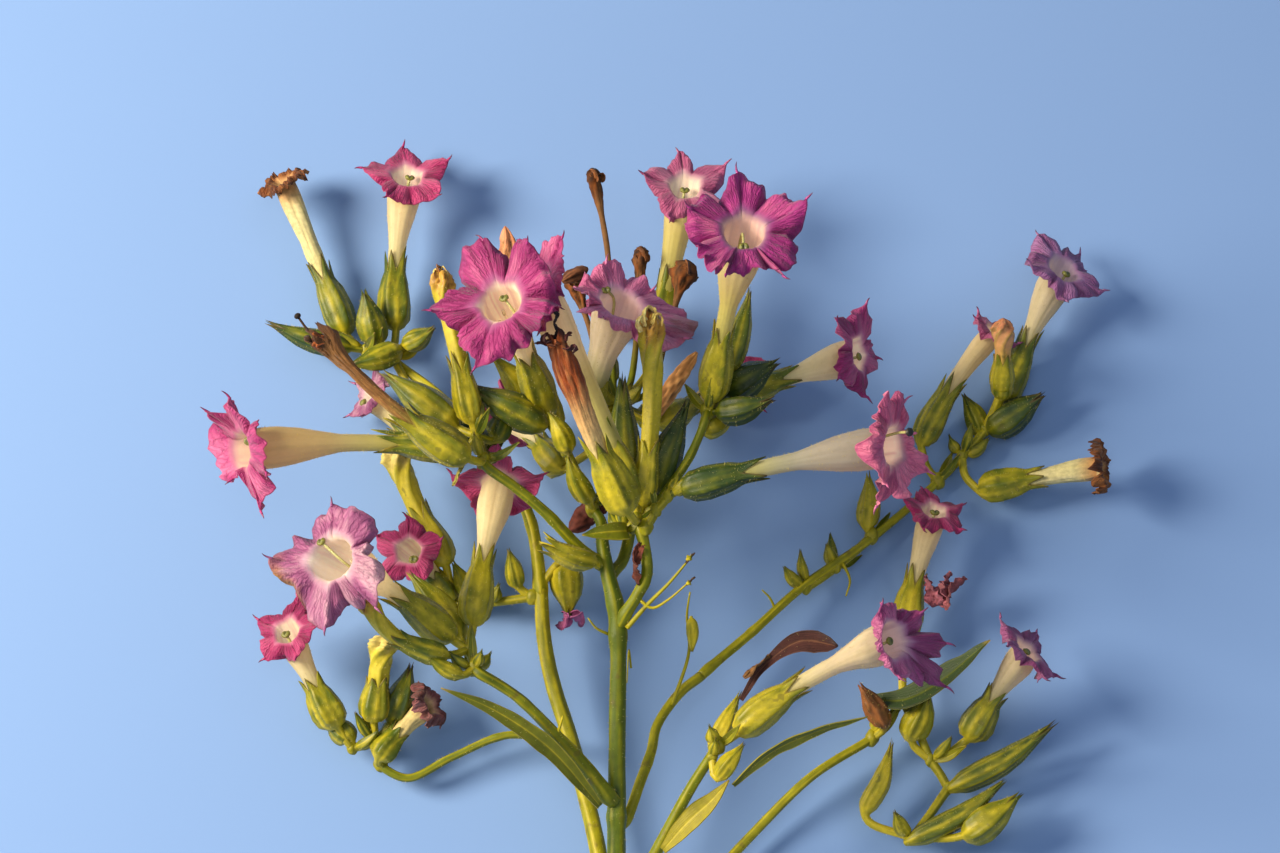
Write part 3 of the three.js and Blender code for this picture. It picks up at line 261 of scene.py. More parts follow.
class Path:
    """A dense curve with frames carried along without twist (from either end)."""
    def __init__(self, pts, side=(0.1, 0.2, 0.95), from_end=False):
        p = np.asarray(pts, float)
        if from_end:
            p = p[::-1]
        seg = np.linalg.norm(np.diff(p, axis=0), axis=1)
        s = np.concatenate([[0], np.cumsum(seg)])
        t = np.gradient(p, axis=0)
        t /= np.linalg.norm(t, axis=1)[:, None]
        n = np.zeros_like(p)
        v = np.asarray(side, float)
        for i in range(len(p)):
            v = v - t[i] * v.dot(t[i])
            v = v / np.linalg.norm(v)
            n[i] = v
        self.length = s[-1]
        if from_end:
            p, t, n, s = p[::-1], -t[::-1], n[::-1], (s[-1] - s)[::-1]
        self.p, self.t, self.n, self.s = p, t, n, s

    def frames(self, d):
        d = np.asarray(d, float)
        c = np.clip(d, 0, self.length)
        pick = lambda a: np.stack([np.interp(c, self.s, a[:, k]) for k in range(3)], -1)
        P, T, N = pick(self.p), pick(self.t), pick(self.n)
        T /= np.linalg.norm(T, axis=-1)[..., None]
        N = N - T * np.sum(N * T, -1)[..., None]
        N /= np.linalg.norm(N, axis=-1)[..., None]
        P = P + T * (d - c)[..., None]
        return P, T, N, np.cross(T, N)


def spline(points, n=260):
    """Centripetal Catmull-Rom through the points."""
    p = np.asarray(points, float)
    if len(p) == 2:
        f = np.linspace(0, 1, n)[:, None]
        return p[0] * (1 - f) + p[1] * f
    q = np.vstack([2 * p[0] - p[1], p, 2 * p[-1] - p[-2]])
    k = np.concatenate([[0], np.cumsum(np.linalg.norm(np.diff(q[:, :3], axis=0), axis=1) ** 0.5)])
    out = []
    per = max(8, n // (len(p) - 1))
    for i in range(1, len(q) - 2):
        last = i == len(q) - 3
        t = np.linspace(k[i], k[i + 1], per + 1)[: None if last else -1][:, None]
        t0, t1, t2, t3 = k[i - 1], k[i], k[i + 1], k[i + 2]
        a1 = (t1 - t) / (t1 - t0) * q[i - 1] + (t - t0) / (t1 - t0) * q[i]
        a2 = (t2 - t) / (t2 - t1) * q[i] + (t - t1) / (t2 - t1) * q[i + 1]
        a3 = (t3 - t) / (t3 - t2) * q[i + 1] + (t - t2) / (t3 - t2) * q[i + 2]
        b1 = (t2 - t) / (t2 - t0) * a1 + (t - t0) / (t2 - t0) * a2
        b2 = (t3 - t) / (t3 - t1) * a2 + (t - t1) / (t3 - t1) * a3
        out.append((t2 - t) / (t2 - t1) * b1 + (t - t1) / (t2 - t1) * b2)
    return np.vstack(out)


def bezier(a, b, c, n=160):
    t = np.linspace(0, 1, n)[:, None]
    return a * (1 - t) ** 2 + 2 * b * t * (1 - t) + c * t * t


def grid_normals(P, closed=True):
    dr = np.gradient(P, axis=0)
    if closed:
        dc = np.roll(P, -1, 1) - np.roll(P, 1, 1)
    else:
        dc = np.gradient(P, axis=1)
    n = np.cross(dc, dr)
    l = np.linalg.norm(n, axis=-1)
    n = n / np.maximum(l, 1e-9)[..., None]
    # poles and pinched points borrow a neighbour's normal
    bad = l < 1e-7
    if bad.any():
        good = np.roll(n, 1, 0)
        n = np.where(bad[..., None], good, n)
    return n


HAIRS = []        # (points, normals, hairs per mm2, length factor)


class Piece:
    def __init__(self):
        self.V, self.F, self.T, self.tone, self.mark, self.mq, self.mt, self.n = [], [], [], [], [], [], [], 0
        self.painted_glow = []

    def _add(self, P, tone, mark, painted_glow=0.0):
        P = P.reshape(-1, 3)
        self.V.append(P)
        self.painted_glow.append(np.full(len(P), painted_glow) if np.ndim(painted_glow) == 0 else np.asarray(painted_glow, float).reshape(-1))
        self.tone.append(np.broadcast_to(tone, P.shape).reshape(-1, 3) if np.ndim(tone) == 1 else np.asarray(tone).reshape(-1, 3))
        self.mark.append(np.zeros_like(P) if mark is None else np.asarray(mark, float).reshape(-1, 3))
        start = self.n
        self.n += len(P)
        return start

    def grid(self, P, tone, mark=None, closed=True, flip=False, mat=0, start=False, end=False, painted_glow=0.0):
        R, C = P.shape[:2]
        k = self._add(P, tone, mark, painted_glow)
        idx = np.arange(R * C).reshape(R, C) + k
        a, b = idx[:-1], idx[1:]
        if closed:
            q = np.stack([a, np.roll(a, -1, 1), np.roll(b, -1, 1), b], -1)
        else:
            q = np.stack([a[:, :-1], a[:, 1:], b[:, 1:], b[:, :-1]], -1)
        q = q.reshape(-1, 4)
        if flip:
            q = q[:, ::-1]
        self.F.append(q)
        self.mq.append(np.full(len(q), mat))
        tone = np.broadcast_to(tone, P.shape)
        for on, row, turn in ((start, 0, True), (end, R - 1, False)):
            if on:
                c = self._add(P[row].mean(0)[None], tone[row].mean(0)[None], None)
                ring = idx[row]
                nxt = np.roll(ring, -1)
                t = np.stack([np.full(C, c), nxt if turn else ring, ring if turn else nxt], -1)
                if flip:
                    t = t[:, ::-1]
                self.T.append(t)
                self.mt.append(np.full(len(t), mat))
        return idx

    def quads(self, q, mat=0):
        self.F.append(q.reshape(-1, 4))
        self.mq.append(np.full(len(q.reshape(-1, 4)), mat))

    def sheet(self, P, N, thick, tone_out, tone_in, mark=None, closed=True, mat=0, close_start=True, painted_glow_in=0.0):
        """A thin closed skin about the grid P: the outer side, the inner side and the rims."""
        t = (thick if np.ndim(thick) else np.full(P.shape[:2], thick))[..., None] * 0.5
        a = self.grid(P + N * t, tone_out, mark, closed, False, mat)
        b = self.grid(P - N * t, tone_in, mark, closed, True, mat, painted_glow=painted_glow_in)
        rims = [(a[-1], b[-1], False)] + ([(a[0], b[0], True)] if close_start else [])
        for u, v, flip in rims:
            if closed:
                q = np.stack([u, np.roll(u, -1), np.roll(v, -1), v], -1)
            else:
                q = np.stack([u[:-1], u[1:], v[1:], v[:-1]], -1)
            self.quads(q[:, ::-1] if flip else q, mat)
        if not closed:
            for u, v, flip in ((a[:, 0], b[:, 0], False), (a[:, -1], b[:, -1], True)):
                q = np.stack([u[1:], u[:-1], v[:-1], v[1:]], -1)
                self.quads(q[:, ::-1] if flip else q, mat)

    def build(self, name, materials, slot, replaces=(), smooth=True):
        V = to_world(np.vstack(self.V)).astype(np.float32)
        Q = np.vstack(self.F) if self.F else np.zeros((0, 4), int)
        T = np.vstack(self.T) if self.T else np.zeros((0, 3), int)
        me = bpy.data.meshes.new(name)
        me.vertices.add(len(V))
        me.vertices.foreach_set("co", V.ravel())
        loops = np.concatenate([Q.ravel(), T.ravel()]).astype(np.int32)
        me.loops.add(len(loops))
        me.loops.foreach_set("vertex_index", loops)
        me.polygons.add(len(Q) + len(T))
        starts = np.concatenate([np.arange(len(Q)) * 4, len(Q) * 4 + np.arange(len(T)) * 3]).astype(np.int32)
        me.polygons.foreach_set("loop_start", starts)
        mi = np.concatenate([np.concatenate(self.mq) if self.mq else [], np.concatenate(self.mt) if self.mt else []]).astype(np.int32)
        me.polygons.foreach_set("material_index", mi)
        me.polygons.foreach_set("use_smooth", np.full(len(mi), smooth))
        for m in materials:
            me.materials.append(m)
        me.update(calc_edges=True)
        tone = np.clip(np.vstack(self.tone), 0.0005, 1)
        col = me.color_attributes.new("tone", "FLOAT_COLOR", "POINT")
        col.data.foreach_set("color", np.hstack([tone, np.ones((len(tone), 1))]).astype(np.float32).ravel())
        mk = me.attributes.new("mark", "FLOAT_VECTOR", "POINT")
        mk.data.foreach_set("vector", np.vstack(self.mark).astype(np.float32).ravel())
        # the per-vertex glow weight is painted light: it drives the throats' emission
        painted_glow = np.concatenate(self.painted_glow)
        if painted_glow.max() > 0:
            gl = me.attributes.new("painted_glow", "FLOAT", "POINT")
            gl.data.foreach_set("value", painted_glow.astype(np.float32))
        me.validate()
        ob = bpy.data.objects.new(name, me)
        bpy.context.scene.collection.objects.link(ob)
        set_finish(ob, slot)
        if replaces:
            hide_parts(*replaces)
        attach(ob, "root")
        return ob


# ---- materials -----------------------------------------------------------------
def material(name, rough=0.5, veins=0.0, mottle=0.12, mottle_scale=900.0, bump=0.3, bump_scale=2600.0, bump_dist=0.0002,
             stretch=None, through=0.0, sheen=0.0, spec=0.5, speck=None, flat=None, coat=0.0):
    m = bpy.data.materials.new(name)
    m.use_nodes = True
    nt = m.node_tree
    N, L = nt.nodes, nt.links
    N.clear()
    new = lambda kind: N.new(kind)
    out = new("ShaderNodeOutputMaterial")
    bs = new("ShaderNodeBsdfPrincipled")
    bs.inputs["Specular IOR Level"].default_value = spec
    bs.inputs["Sheen Weight"].default_value = sheen
    bs.inputs["Sheen Roughness"].default_value = 0.45
    if coat:
        bs.inputs["Coat Weight"].default_value = coat
        bs.inputs["Coat Roughness"].default_value = 0.35
    co = new("ShaderNodeTexCoord")
    mp = new("ShaderNodeMapping")
    mp.inputs["Scale"].default_value = stretch or (1, 1, 1)
    L.new(co.outputs["Object"], mp.inputs["Vector"])
    n1 = new("ShaderNodeTexNoise")
    n1.inputs["Scale"].default_value = mottle_scale
    n1.inputs["Detail"].default_value = 3.0
    L.new(mp.outputs[0], n1.inputs["Vector"])
    if flat is None:
        tone = new("ShaderNodeAttribute")
        tone.attribute_name = "tone"
        base = tone.outputs["Color"]
    else:
        rgb = new("ShaderNodeRGB")
        rgb.outputs[0].default_value = (*flat, 1)
        base = rgb.outputs[0]
    rng = new("ShaderNodeMapRange")
    rng.inputs["From Min"].default_value = 0.3
    rng.inputs["From Max"].default_value = 0.7
    rng.inputs["To Min"].default_value = 1 - mottle
    rng.inputs["To Max"].default_value = 1 + mottle
    L.new(n1.outputs["Fac"], rng.inputs["Value"])
    mul = new("ShaderNodeVectorMath")
    mul.operation = "SCALE"
    L.new(base, mul.inputs[0])
    L.new(rng.outputs[0], mul.inputs["Scale"])
    colour = mul.outputs[0]
    n2 = new("ShaderNodeTexNoise")
    n2.inputs["Scale"].default_value = bump_scale
    n2.inputs["Detail"].default_value = 2.0
    L.new(mp.outputs[0], n2.inputs["Vector"])
    height = n2.outputs["Fac"]
    if veins:
        mk = new("ShaderNodeAttribute")
        mk.attribute_name = "mark"
        sep = new("ShaderNodeSeparateXYZ")
        L.new(mk.outputs["Vector"], sep.inputs[0])

        def maths(op, a, b=None, c=None):
            n = new("ShaderNodeMath")
            n.operation = op
            for i, v in enumerate((a, b, c)):
                if v is None:
                    continue
                if isinstance(v, (int, float)):
                    n.inputs[i].default_value = v
                else:
                    L.new(v, n.inputs[i])
            return n.outputs[0]
        a, s, z = sep.outputs[0], sep.outputs[1], sep.outputs[2]
        wob = maths("MULTIPLY", n1.outputs["Fac"], 1.1)
        # veins: many thin lines from the throat, fanning towards the margins
        lines = []
        for count, width, skew in ((5.0, 0.20, 1.2), (11.0, 0.26, -2.0)):
            u = maths("MULTIPLY", a, count)
            u = maths("ADD", u, wob)
            u = maths("ADD", u, maths("MULTIPLY", s, skew))
            u = maths("FRACT", u)
            u = maths("ABSOLUTE", maths("SUBTRACT", u, 0.5))
            r = new("ShaderNodeMapRange")
            r.inputs["From Min"].default_value = 0.0
            r.inputs["From Max"].default_value = width
            r.inputs["To Min"].default_value = 1.0
            r.inputs["To Max"].default_value = 0.0
            L.new(u, r.inputs["Value"])
            lines.append(r.outputs[0])
        line = maths("MAXIMUM", lines[0], maths("MULTIPLY", lines[1], 0.7))
        line = maths("MULTIPLY", line, z)
        dark = new("ShaderNodeVectorMath")
        dark.operation = "MULTIPLY"
        L.new(colour, dark.inputs[0])
        dark.inputs[1].default_value = (0.66, 0.42, 0.62)
        mx = new("ShaderNodeMix")
        mx.data_type = "RGBA"
        L.new(maths("MULTIPLY", line, veins), mx.inputs["Factor"])
        L.new(colour, mx.inputs[6])
        L.new(dark.outputs[0], mx.inputs[7])
        colour = mx.outputs[2]
        height = maths("ADD", height, maths("MULTIPLY", line, 0.9))
    if speck:
        n3 = new("ShaderNodeTexNoise")
        n3.inputs["Scale"].default_value = speck[1]
        n3.inputs["Detail"].default_value = 1.0
        L.new(co.outputs["Object"], n3.inputs["Vector"])
        r3 = new("ShaderNodeMapRange")
        r3.inputs["From Min"].default_value = speck[2]
        r3.inputs["From Max"].default_value = speck[2] + 0.06
        r3.inputs["To Max"].default_value = speck[3]
        L.new(n3.outputs["Fac"], r3.inputs["Value"])
        mx = new("ShaderNodeMix")
        mx.data_type = "RGBA"
        L.new(r3.outputs[0], mx.inputs["Factor"])
        L.new(colour, mx.inputs[6])
        mx.inputs[7].default_value = (*speck[0], 1)
        colour = mx.outputs[2]
    rr = new("ShaderNodeMapRange")
    rr.inputs["To Min"].default_value = rough - 0.08
    rr.inputs["To Max"].default_value = rough + 0.12
    L.new(n1.outputs["Fac"], rr.inputs["Value"])
    L.new(rr.outputs[0], bs.inputs["Roughness"])
    L.new(colour, bs.inputs["Base Color"])
    bp = new("ShaderNodeBump")
    bp.inputs["Strength"].default_value = bump
    if veins:
        L.new(maths("MULTIPLY_ADD", z, bump * 0.8, bump * 0.2), bp.inputs["Strength"])
    bp.inputs["Distance"].default_value = bump_dist
    L.new(height, bp.inputs["Height"])
    L.new(bp.outputs[0], bs.inputs["Normal"])
    if through:
        tr = new("ShaderNodeBsdfTranslucent")
        if name == "petal":
            mt = new("ShaderNodeMix")
            mt.data_type = "RGBA"
            L.new(maths("MULTIPLY_ADD", z, 0.75, 0.25), mt.inputs["Factor"])
            mt.inputs[6].default_value = (1.0, 0.94, 0.80, 1)
            L.new(colour, mt.inputs[7])
            L.new(mt.outputs[2], tr.inputs["Color"])
        else:
            L.new(colour, tr.inputs["Color"])
        L.new(bp.outputs[0], tr.inputs["Normal"])
        ms = new("ShaderNodeMixShader")
        ms.inputs[0].default_value = through
        if name == "petal":
            L.new(maths("MULTIPLY_ADD", z, -0.18, 0.50), ms.inputs[0])
            # painted light: the per-vertex glow weight drives a warm emission in the throats, standing for sunlight
            # shining through the tube
            gl = new("ShaderNodeAttribute")
            gl.attribute_name = "painted_glow"
            bs.inputs["Emission Color"].default_value = (1.0, 0.62, 0.42, 1)
            L.new(maths("MULTIPLY", gl.outputs["Fac"], 0.62), bs.inputs["Emission Strength"])
        L.new(bs.outputs[0], ms.inputs[1])
        L.new(tr.outputs[0], ms.inputs[2])
        L.new(ms.outputs[0], out.inputs["Surface"])
    else:
        L.new(bs.outputs[0], out.inputs["Surface"])
    return m


M_PETAL = material("petal", rough=0.5, veins=0.6, mottle=0.06, mottle_scale=900, bump=0.8, bump_scale=3600, bump_dist=0.0003, through=0.30, sheen=0.25, spec=0.4)
M_OLD = material("withered", rough=0.7, veins=0.25, mottle=0.18, mottle_scale=800, bump=0.8, bump_scale=2200, bump_dist=0.0004, through=0.12, sheen=0.1, spec=0.25)
M_CALYX = material("calyx", rough=0.42, mottle=0.14, mottle_scale=700, bump=0.35, bump_scale=3800, bump_dist=0.00018, through=0.12, sheen=0.04, spec=0.4,
                   speck=(lin(96, 92, 30), 420, 0.66, 0.5))
M_STEM = material("stem", rough=0.46, mottle=0.16, mottle_scale=420, bump=0.4, bump_scale=3000, bump_dist=0.0002, sheen=0.02, spec=0.3,
                  speck=(lin(96, 76, 32), 300, 0.68, 0.45))
M_BRACT = material("bract", rough=0.5, veins=0.3, mottle=0.14, mottle_scale=600, bump=0.4, bump_scale=2600, bump_dist=0.0002, through=0.18, sheen=0.1, spec=0.45)
M_HAIR = material("hair", rough=0.4, mottle=0.2, mottle_scale=300, bump=0.0, through=0.3, spec=0.5, flat=lin(222, 212, 128))
M_STIGMA = material("stigma", rough=0.3, mottle=0.25, mottle_scale=2500, bump=0.6, bump_scale=5000, spec=0.6)

GREENS = [(206, 187, 40), (166, 154, 12), (113, 118, 4), (66, 88, 6), (29, 54, 9)]


def green(t):
    t = float(np.clip(t, 0, 1)) * (len(GREENS) - 1)
    i = min(int(t), len(GREENS) - 2)
    return lin(*GREENS[i]) * (1 - (t - i)) + lin(*GREENS[i + 1]) * (t - i)


LOOKS = {  # limb (mid, edge, light), ring near the throat, throat, tube; edge is a darker margin tone that also serves as painted shade, light a lighter tone that also serves as painted highlight
    "fresh": dict(mid=(190, 58, 134), edge_and_shade=(138, 32, 98), light=(246, 138, 184), ring=(190, 98, 160), throat=(255, 240, 212), tube=(228, 220, 180)),
    "fresh2": dict(mid=(198, 52, 120), edge_and_shade=(146, 26, 86), light=(238, 104, 158), ring=(216, 128, 166), throat=(255, 236, 208), tube=(224, 212, 166)),
    "fresh3": dict(mid=(188, 52, 146), edge_and_shade=(142, 30, 106), light=(246, 124, 176), ring=(150, 74, 142), throat=(240, 196, 188), tube=(216, 208, 146)),
    # fresh4: limb colours lightened as painted light for a bloom turned away from the key lamp, and a grey tube colour
    # that is painted shade
    "fresh4": dict(mid=(240, 130, 168), edge_and_shade=(184, 80, 136), light=(255, 166, 192), ring=(196, 132, 160), throat=(248, 218, 200), tube=(138, 145, 140)),
    "fresh7": dict(mid=(196, 66, 134), edge_and_shade=(152, 36, 96), light=(248, 140, 186), ring=(220, 130, 168), throat=(255, 218, 190), tube=(156, 146, 88)),
    "pink": dict(mid=(182, 78, 142), edge_and_shade=(136, 46, 108), light=(236, 142, 186), ring=(196, 138, 182), throat=(222, 188, 204), tube=(228, 214, 172)),
    # bell: colours lightened as painted light for a bloom facing away from the key lamp
    "bell": dict(mid=(240, 138, 186), edge_and_shade=(198, 98, 148), light=(252, 184, 218), ring=(222, 162, 200), throat=(232, 196, 206), tube=(228, 216, 180)),
    "lilac": dict(mid=(178, 110, 168), edge_and_shade=(134, 80, 124), light=(196, 142, 198), ring=(180, 134, 182), throat=(194, 166, 194), tube=(222, 210, 168)),
    "mauve": dict(mid=(170, 82, 142), edge_and_shade=(122, 50, 98), light=(214, 138, 184), ring=(192, 142, 176), throat=(226, 200, 200), tube=(222, 210, 168)),
    "mauve2": dict(mid=(200, 98, 146), edge_and_shade=(156, 62, 110), light=(230, 150, 182), ring=(216, 166, 180), throat=(248, 230, 204), tube=(222, 206, 156)),
    "pale": dict(mid=(188, 106, 154), edge_and_shade=(136, 68, 116), light=(244, 202, 212), ring=(226, 184, 204), throat=(255, 246, 230), tube=(226, 214, 156)),
    "rust": dict(mid=(142, 82, 40), edge_and_shade=(78, 42, 24), light=(196, 130, 70), ring=(188, 142, 92), throat=(204, 170, 114), tube=(214, 202, 148)),
    "umber": dict(mid=(138, 96, 46), edge_and_shade=(84, 54, 28), light=(176, 134, 70), ring=(164, 126, 70), throat=(176, 142, 86), tube=(172, 136, 70)),
    "dusk": dict(mid=(156, 90, 96), edge_and_shade=(104, 60, 54), light=(196, 136, 130), ring=(194, 150, 132), throat=(206, 174, 132), tube=(206, 186, 126)),
}


# ---- builders --------------------------------------------------------------------
def tube_radius(g, rt, slim=TUBE_R, late=0.0):
    """Radius of the corolla tube at the share g of its whole length."""
    xs = [0.0, 0.30, 0.56 + late, 0.66 + late, 0.76 + late * 0.8, 0.85 + late * 0.5, 0.93 + late * 0.2, 1.0]
    rs = [slim * 0.9, slim, slim * 1.12, slim + (rt - slim) * 0.50, slim + (rt - slim) * 0.95, rt * 1.12, rt * 1.14, rt]
    from_x = np.interp(g, xs, rs)
    return from_x


def half_lobe(a):
    return 0.62 * (1 - a ** 2.1) ** 0.85 + 0.22 * (1 - a) ** 2.4 + 0.16 * np.exp(-a / 0.036) * (1 - a)


def limb_columns(ctrl, per):
    """ctrl: (radius, angle, lift, kind) round the throat with rising angle. Returns angle, radius, lift, lobe share a, side."""
    th, R, lf, aa, lobe, side = [], [], [], [], [], []
    n = len(ctrl)
    first = next(i for i in range(n) if ctrl[i][3] == "n")
    ctrl = ctrl[first:] + [(r, t + 2 * math.pi, l, k) for r, t, l, k in ctrl[:first]]
    at_lobe = -1
    for i in range(n):
        r0, t0, l0, k0 = ctrl[i]
        r1, t1, l1, k1 = ctrl[(i + 1) % n]
        if t1 <= t0:
            t1 += 2 * math.pi
        if k0 == "n":
            at_lobe += 1
        m = max(4, int(round(per * min(1.6, (t1 - t0) / 0.63))))
        u = np.arange(m) / m
        if k0 == "t":
            u = u ** 1.7
            g = 1 - half_lobe(u) if k1 != "t" else 0.5 - 0.5 * np.cos(math.pi * u)
            a = u
        elif k1 == "t":
            u = 1 - (1 - u) ** 1.7
            g = half_lobe(1 - u)
            a = 1 - u
        else:
            g = 0.5 - 0.5 * np.cos(math.pi * u)
            a = u if k1 == "n" else (1 - u if k0 == "n" else np.minimum(u, 1 - u) * 0.6)
        th.append(t0 + (t1 - t0) * u)
        R.append(r0 + (r1 - r0) * g)
        lf.append(l0 + (l1 - l0) * (0.5 - 0.5 * np.cos(math.pi * u)))
        aa.append(a)
        lobe.append(np.full(m, at_lobe))
        side.append(np.full(m, 1.0 if k0 == "t" else (-1.0 if k1 == "t" else (1.0 if k1 == "n" else -1.0))))
    th, R, lf, aa, lobe, side = [np.concatenate(v) for v in (th, R, lf, aa, lobe, side)]
    tips = [c for c in ctrl if c[3] == "t"]
    for k in range(int(lobe.max()) + 1):
        on = np.where(lobe == k)[0]
        lo, hi = th[on[0]], (th[on[-1] + 1] if on[-1] + 1 < len(th) else th[0] + 2 * math.pi)
        inside = [t + m for _, t, _, _ in tips for m in (0, 2 * math.pi) if lo < t + m < hi]
        if inside:
            mid = inside[0]
            left = th[on] < mid
            aa[on] = np.where(left, (mid - th[on]) / (mid - lo), (th[on] - mid) / (hi - mid))
            side[on] = np.where(left, -1.0, 1.0)
    return th, R, lf, aa, lobe, side


def wave_n(TH, S, idx):
    return noise(np.stack([np.cos(TH) * 8, np.sin(TH) * 8, S * 5], -1), 1.0, idx + 40)


def corolla(name, b, idx):
    rng = np.random.default_rng(300 + idx)
    pc = Piece()
    P0, P1, P2 = at(*b["base"]), at(*b["bend"]), at(*b["throat"])
    face = unit(b["face"])
    upv = unit(np.array([0, 1, 0]) - face * face[1])
    right = np.cross(upv, face)
    path = Path(bezier(P0, P1, P2), side=right, from_end=True)
    L = path.length
    look = {k: lin(*v) for k, v in LOOKS[b["look"]].items()}
    fine = b.get("fine", 0)
    wilt = b["kind"] == "wilt"
    rt = b.get("mouth", min(THROAT_R, 0.24 * b["r"] + 0.55)) * (0.85 if wilt else 1)
    # outline of the limb
    if "outline" in b:
        ctrl = []
        for x, y, lift, kind in b["outline"]:
            lo, hi = -80.0, 120.0
            f = lambda d: float(np.dot(at(x, y, d) - P2, face)) - lift
            flo, fhi = f(lo), f(hi)
            d = lo - flo * (hi - lo) / (fhi - flo)
            for _ in range(3):
                d = d - f(d) / ((f(d + 1) - f(d)) or 1e-6)
            q = at(x, y, d) - P2
            q = q - face * lift
            u, v = q.dot(right), q.dot(upv)
            ctrl.append((math.hypot(u, v), math.atan2(v, u), lift, kind))
    else:
        ctrl = []
        for i in range(5):
            t = math.radians(b["turn"] + 72 * i + rng.uniform(-5, 5))
            ctrl.append((b["r"] * rng.uniform(0.9, 1.04), t, rng.uniform(-1.4, 1.2), "t"))
            ctrl.append((b["r"] * rng.uniform(0.56, 0.68), t + math.radians(36 + rng.uniform(-4, 4)), rng.uniform(-1.0, 0.4), "n"))
    if "outline" in b:
        ctrl = [(r - 1.9 if k == "t" and r > rt + 5 else r, t, l, k) for r, t, l, k in ctrl]
    ctrl = [(max(r, rt + 1.2), t % (2 * math.pi), l, k) for r, t, l, k in ctrl]
    ctrl.sort(key=lambda c: c[1])
    th, R, lift_b, a, lobe, side = limb_columns(ctrl, 14 if fine else 9)
    C = len(th)
    # tube rows
    s0 = 5.0
    nt = 26 if fine else 18
    s = s0 + (L - s0) * np.linspace(0, 1, nt)
    g = s / L
    c, T, N, B = path.frames(s)
    w = step(0.72, 0.985, g)[:, None]
    ax = N * (1 - w) + right * w
    ay = B * (1 - w) + upv * w
    rr = tube_radius(g, rt, b.get("slim", TUBE_R), b.get("late", 0.0))
    flute = 1 + 0.010 * np.cos(15 * th + 0.7)[None, :] * step(0.3, 0.6, g)[:, None] + 0.040 * np.cos(5 * th)[None, :] * step(0.4, 0.85, g)[:, None] + 0.018 * noise(np.stack([np.cos(th)[None, :] * 2 + 0 * g[:, None], np.sin(th)[None, :] * 2 + 0 * g[:, None], (s * 0.5)[:, None] + 0 * th[None, :]], -1), 0.7, idx)
    if wilt:
        flute = flute * (1 + 0.14 * noise(np.stack([np.cos(th)[None, :] * 3 + 0 * g[:, None], np.sin(th)[None, :] * 3 + 0 * g[:, None], (s * 0.3)[:, None] + 0 * th[None, :]], -1), 1.0, idx + 50))
    tube = c[:, None, :] + (ax[:, None, :] * np.cos(th)[None, :, None] + ay[:, None, :] * np.sin(th)[None, :, None]) * (rr[:, None] * flute)[..., None]
    # limb rows
    ns = 26 if fine else 17
    sv = (np.arange(1, ns + 1) / ns) ** 0.92
    S, A = np.meshgrid(sv, a, indexing="ij")
    TH = np.broadcast_to(th, S.shape)
    RB = np.broadcast_to(R, S.shape)
    LB = np.broadcast_to(lift_b, S.shape)
    k = b["r"] / 16.0
    lip = 1.3 * k
    rho = rt + (RB - rt) * S ** 1.04
    lift = lip * (1 - (1 - np.clip(S / 0.22, 0, 1)) ** 2) * (1 - 0.35 * S) + LB * S ** 1.35
    two = np.stack([np.cos(TH) * 2.1, np.sin(TH) * 2.1, 0.6 * S + idx * 3.1], -1)
    nl = int(lobe.max()) + 1
    amp = b.get("amp", 1.2)
    tw, tilt, crs = rng.uniform(-1.0, 1.0, nl) * amp, rng.uniform(-1.6, 1.4, nl) * amp, rng.choice([-1.1, -0.9, 0.5, 0.7], nl)
    pil = np.sin(math.pi * np.clip(A, 0, 1) ** 0.8)
    crease = np.exp(-(A / 0.075) ** 2)
    sinus = np.exp(-((1 - A) / 0.13) ** 2)
    at_f, dir_f = rng.uniform(0.3, 0.7, (nl, 2)), rng.choice([-1.0, 1.0], (nl, 2)) * rng.uniform(0.5, 1.4, (nl, 2))
    pick_side = (side > 0).astype(int)
    fa, fd = at_f[lobe, pick_side], dir_f[lobe, pick_side]
    wide = 0.20 - 0.06 * S
    fold = fd * (np.exp(-np.abs(A + 0.12 * noise(two * [1, 1, 2], 0.8, idx + 77) - fa) / wide) - 0.35) * step(0.02, 0.2, A) * (1 - sinus)
    lift += k * (0.95 * pil * S ** 1.1 * (1 - 0.25 * S)
                 + crs[lobe] * crease * S * (1 - 0.35 * S)
                 - 1.35 * sinus * S ** 1.1
                 + tw[lobe] * side * pil * S ** 1.3
                 + tilt[lobe] * (1 - A ** 2) * S ** 1.6
                 + 1.5 * amp * noise(two, 0.85, idx) * S ** 1.7
                 + 0.95 * amp * noise(two * [3.1, 3.1, 1], 0.9, idx + 9) * S ** 2
                 + 0.35 * noise(two * [6.5, 6.5, 2], 0.9, idx + 10) * S ** 2
                 + 0.75 * amp * fold * S ** 1.2)
    # margins roll back unevenly, thread-like tips curl
    roll = step(0.70, 1.0, S) ** 1.5 * (0.7 + 0.9 * noise(np.stack([np.cos(TH) * 5, np.sin(TH) * 5, np.full_like(S, idx)], -1), 1.0, idx + 15)) * step(0.06, 0.35, A)
    lift -= k * 1.7 * roll
    rho = rho - 0.45 * k * np.abs(roll)
    spike = np.exp(-A / 0.05) * step(0.72, 1.0, S)
    lift += spike * (1.2 + rng.uniform(-1.2, 1.2, nl)[lobe]) * k
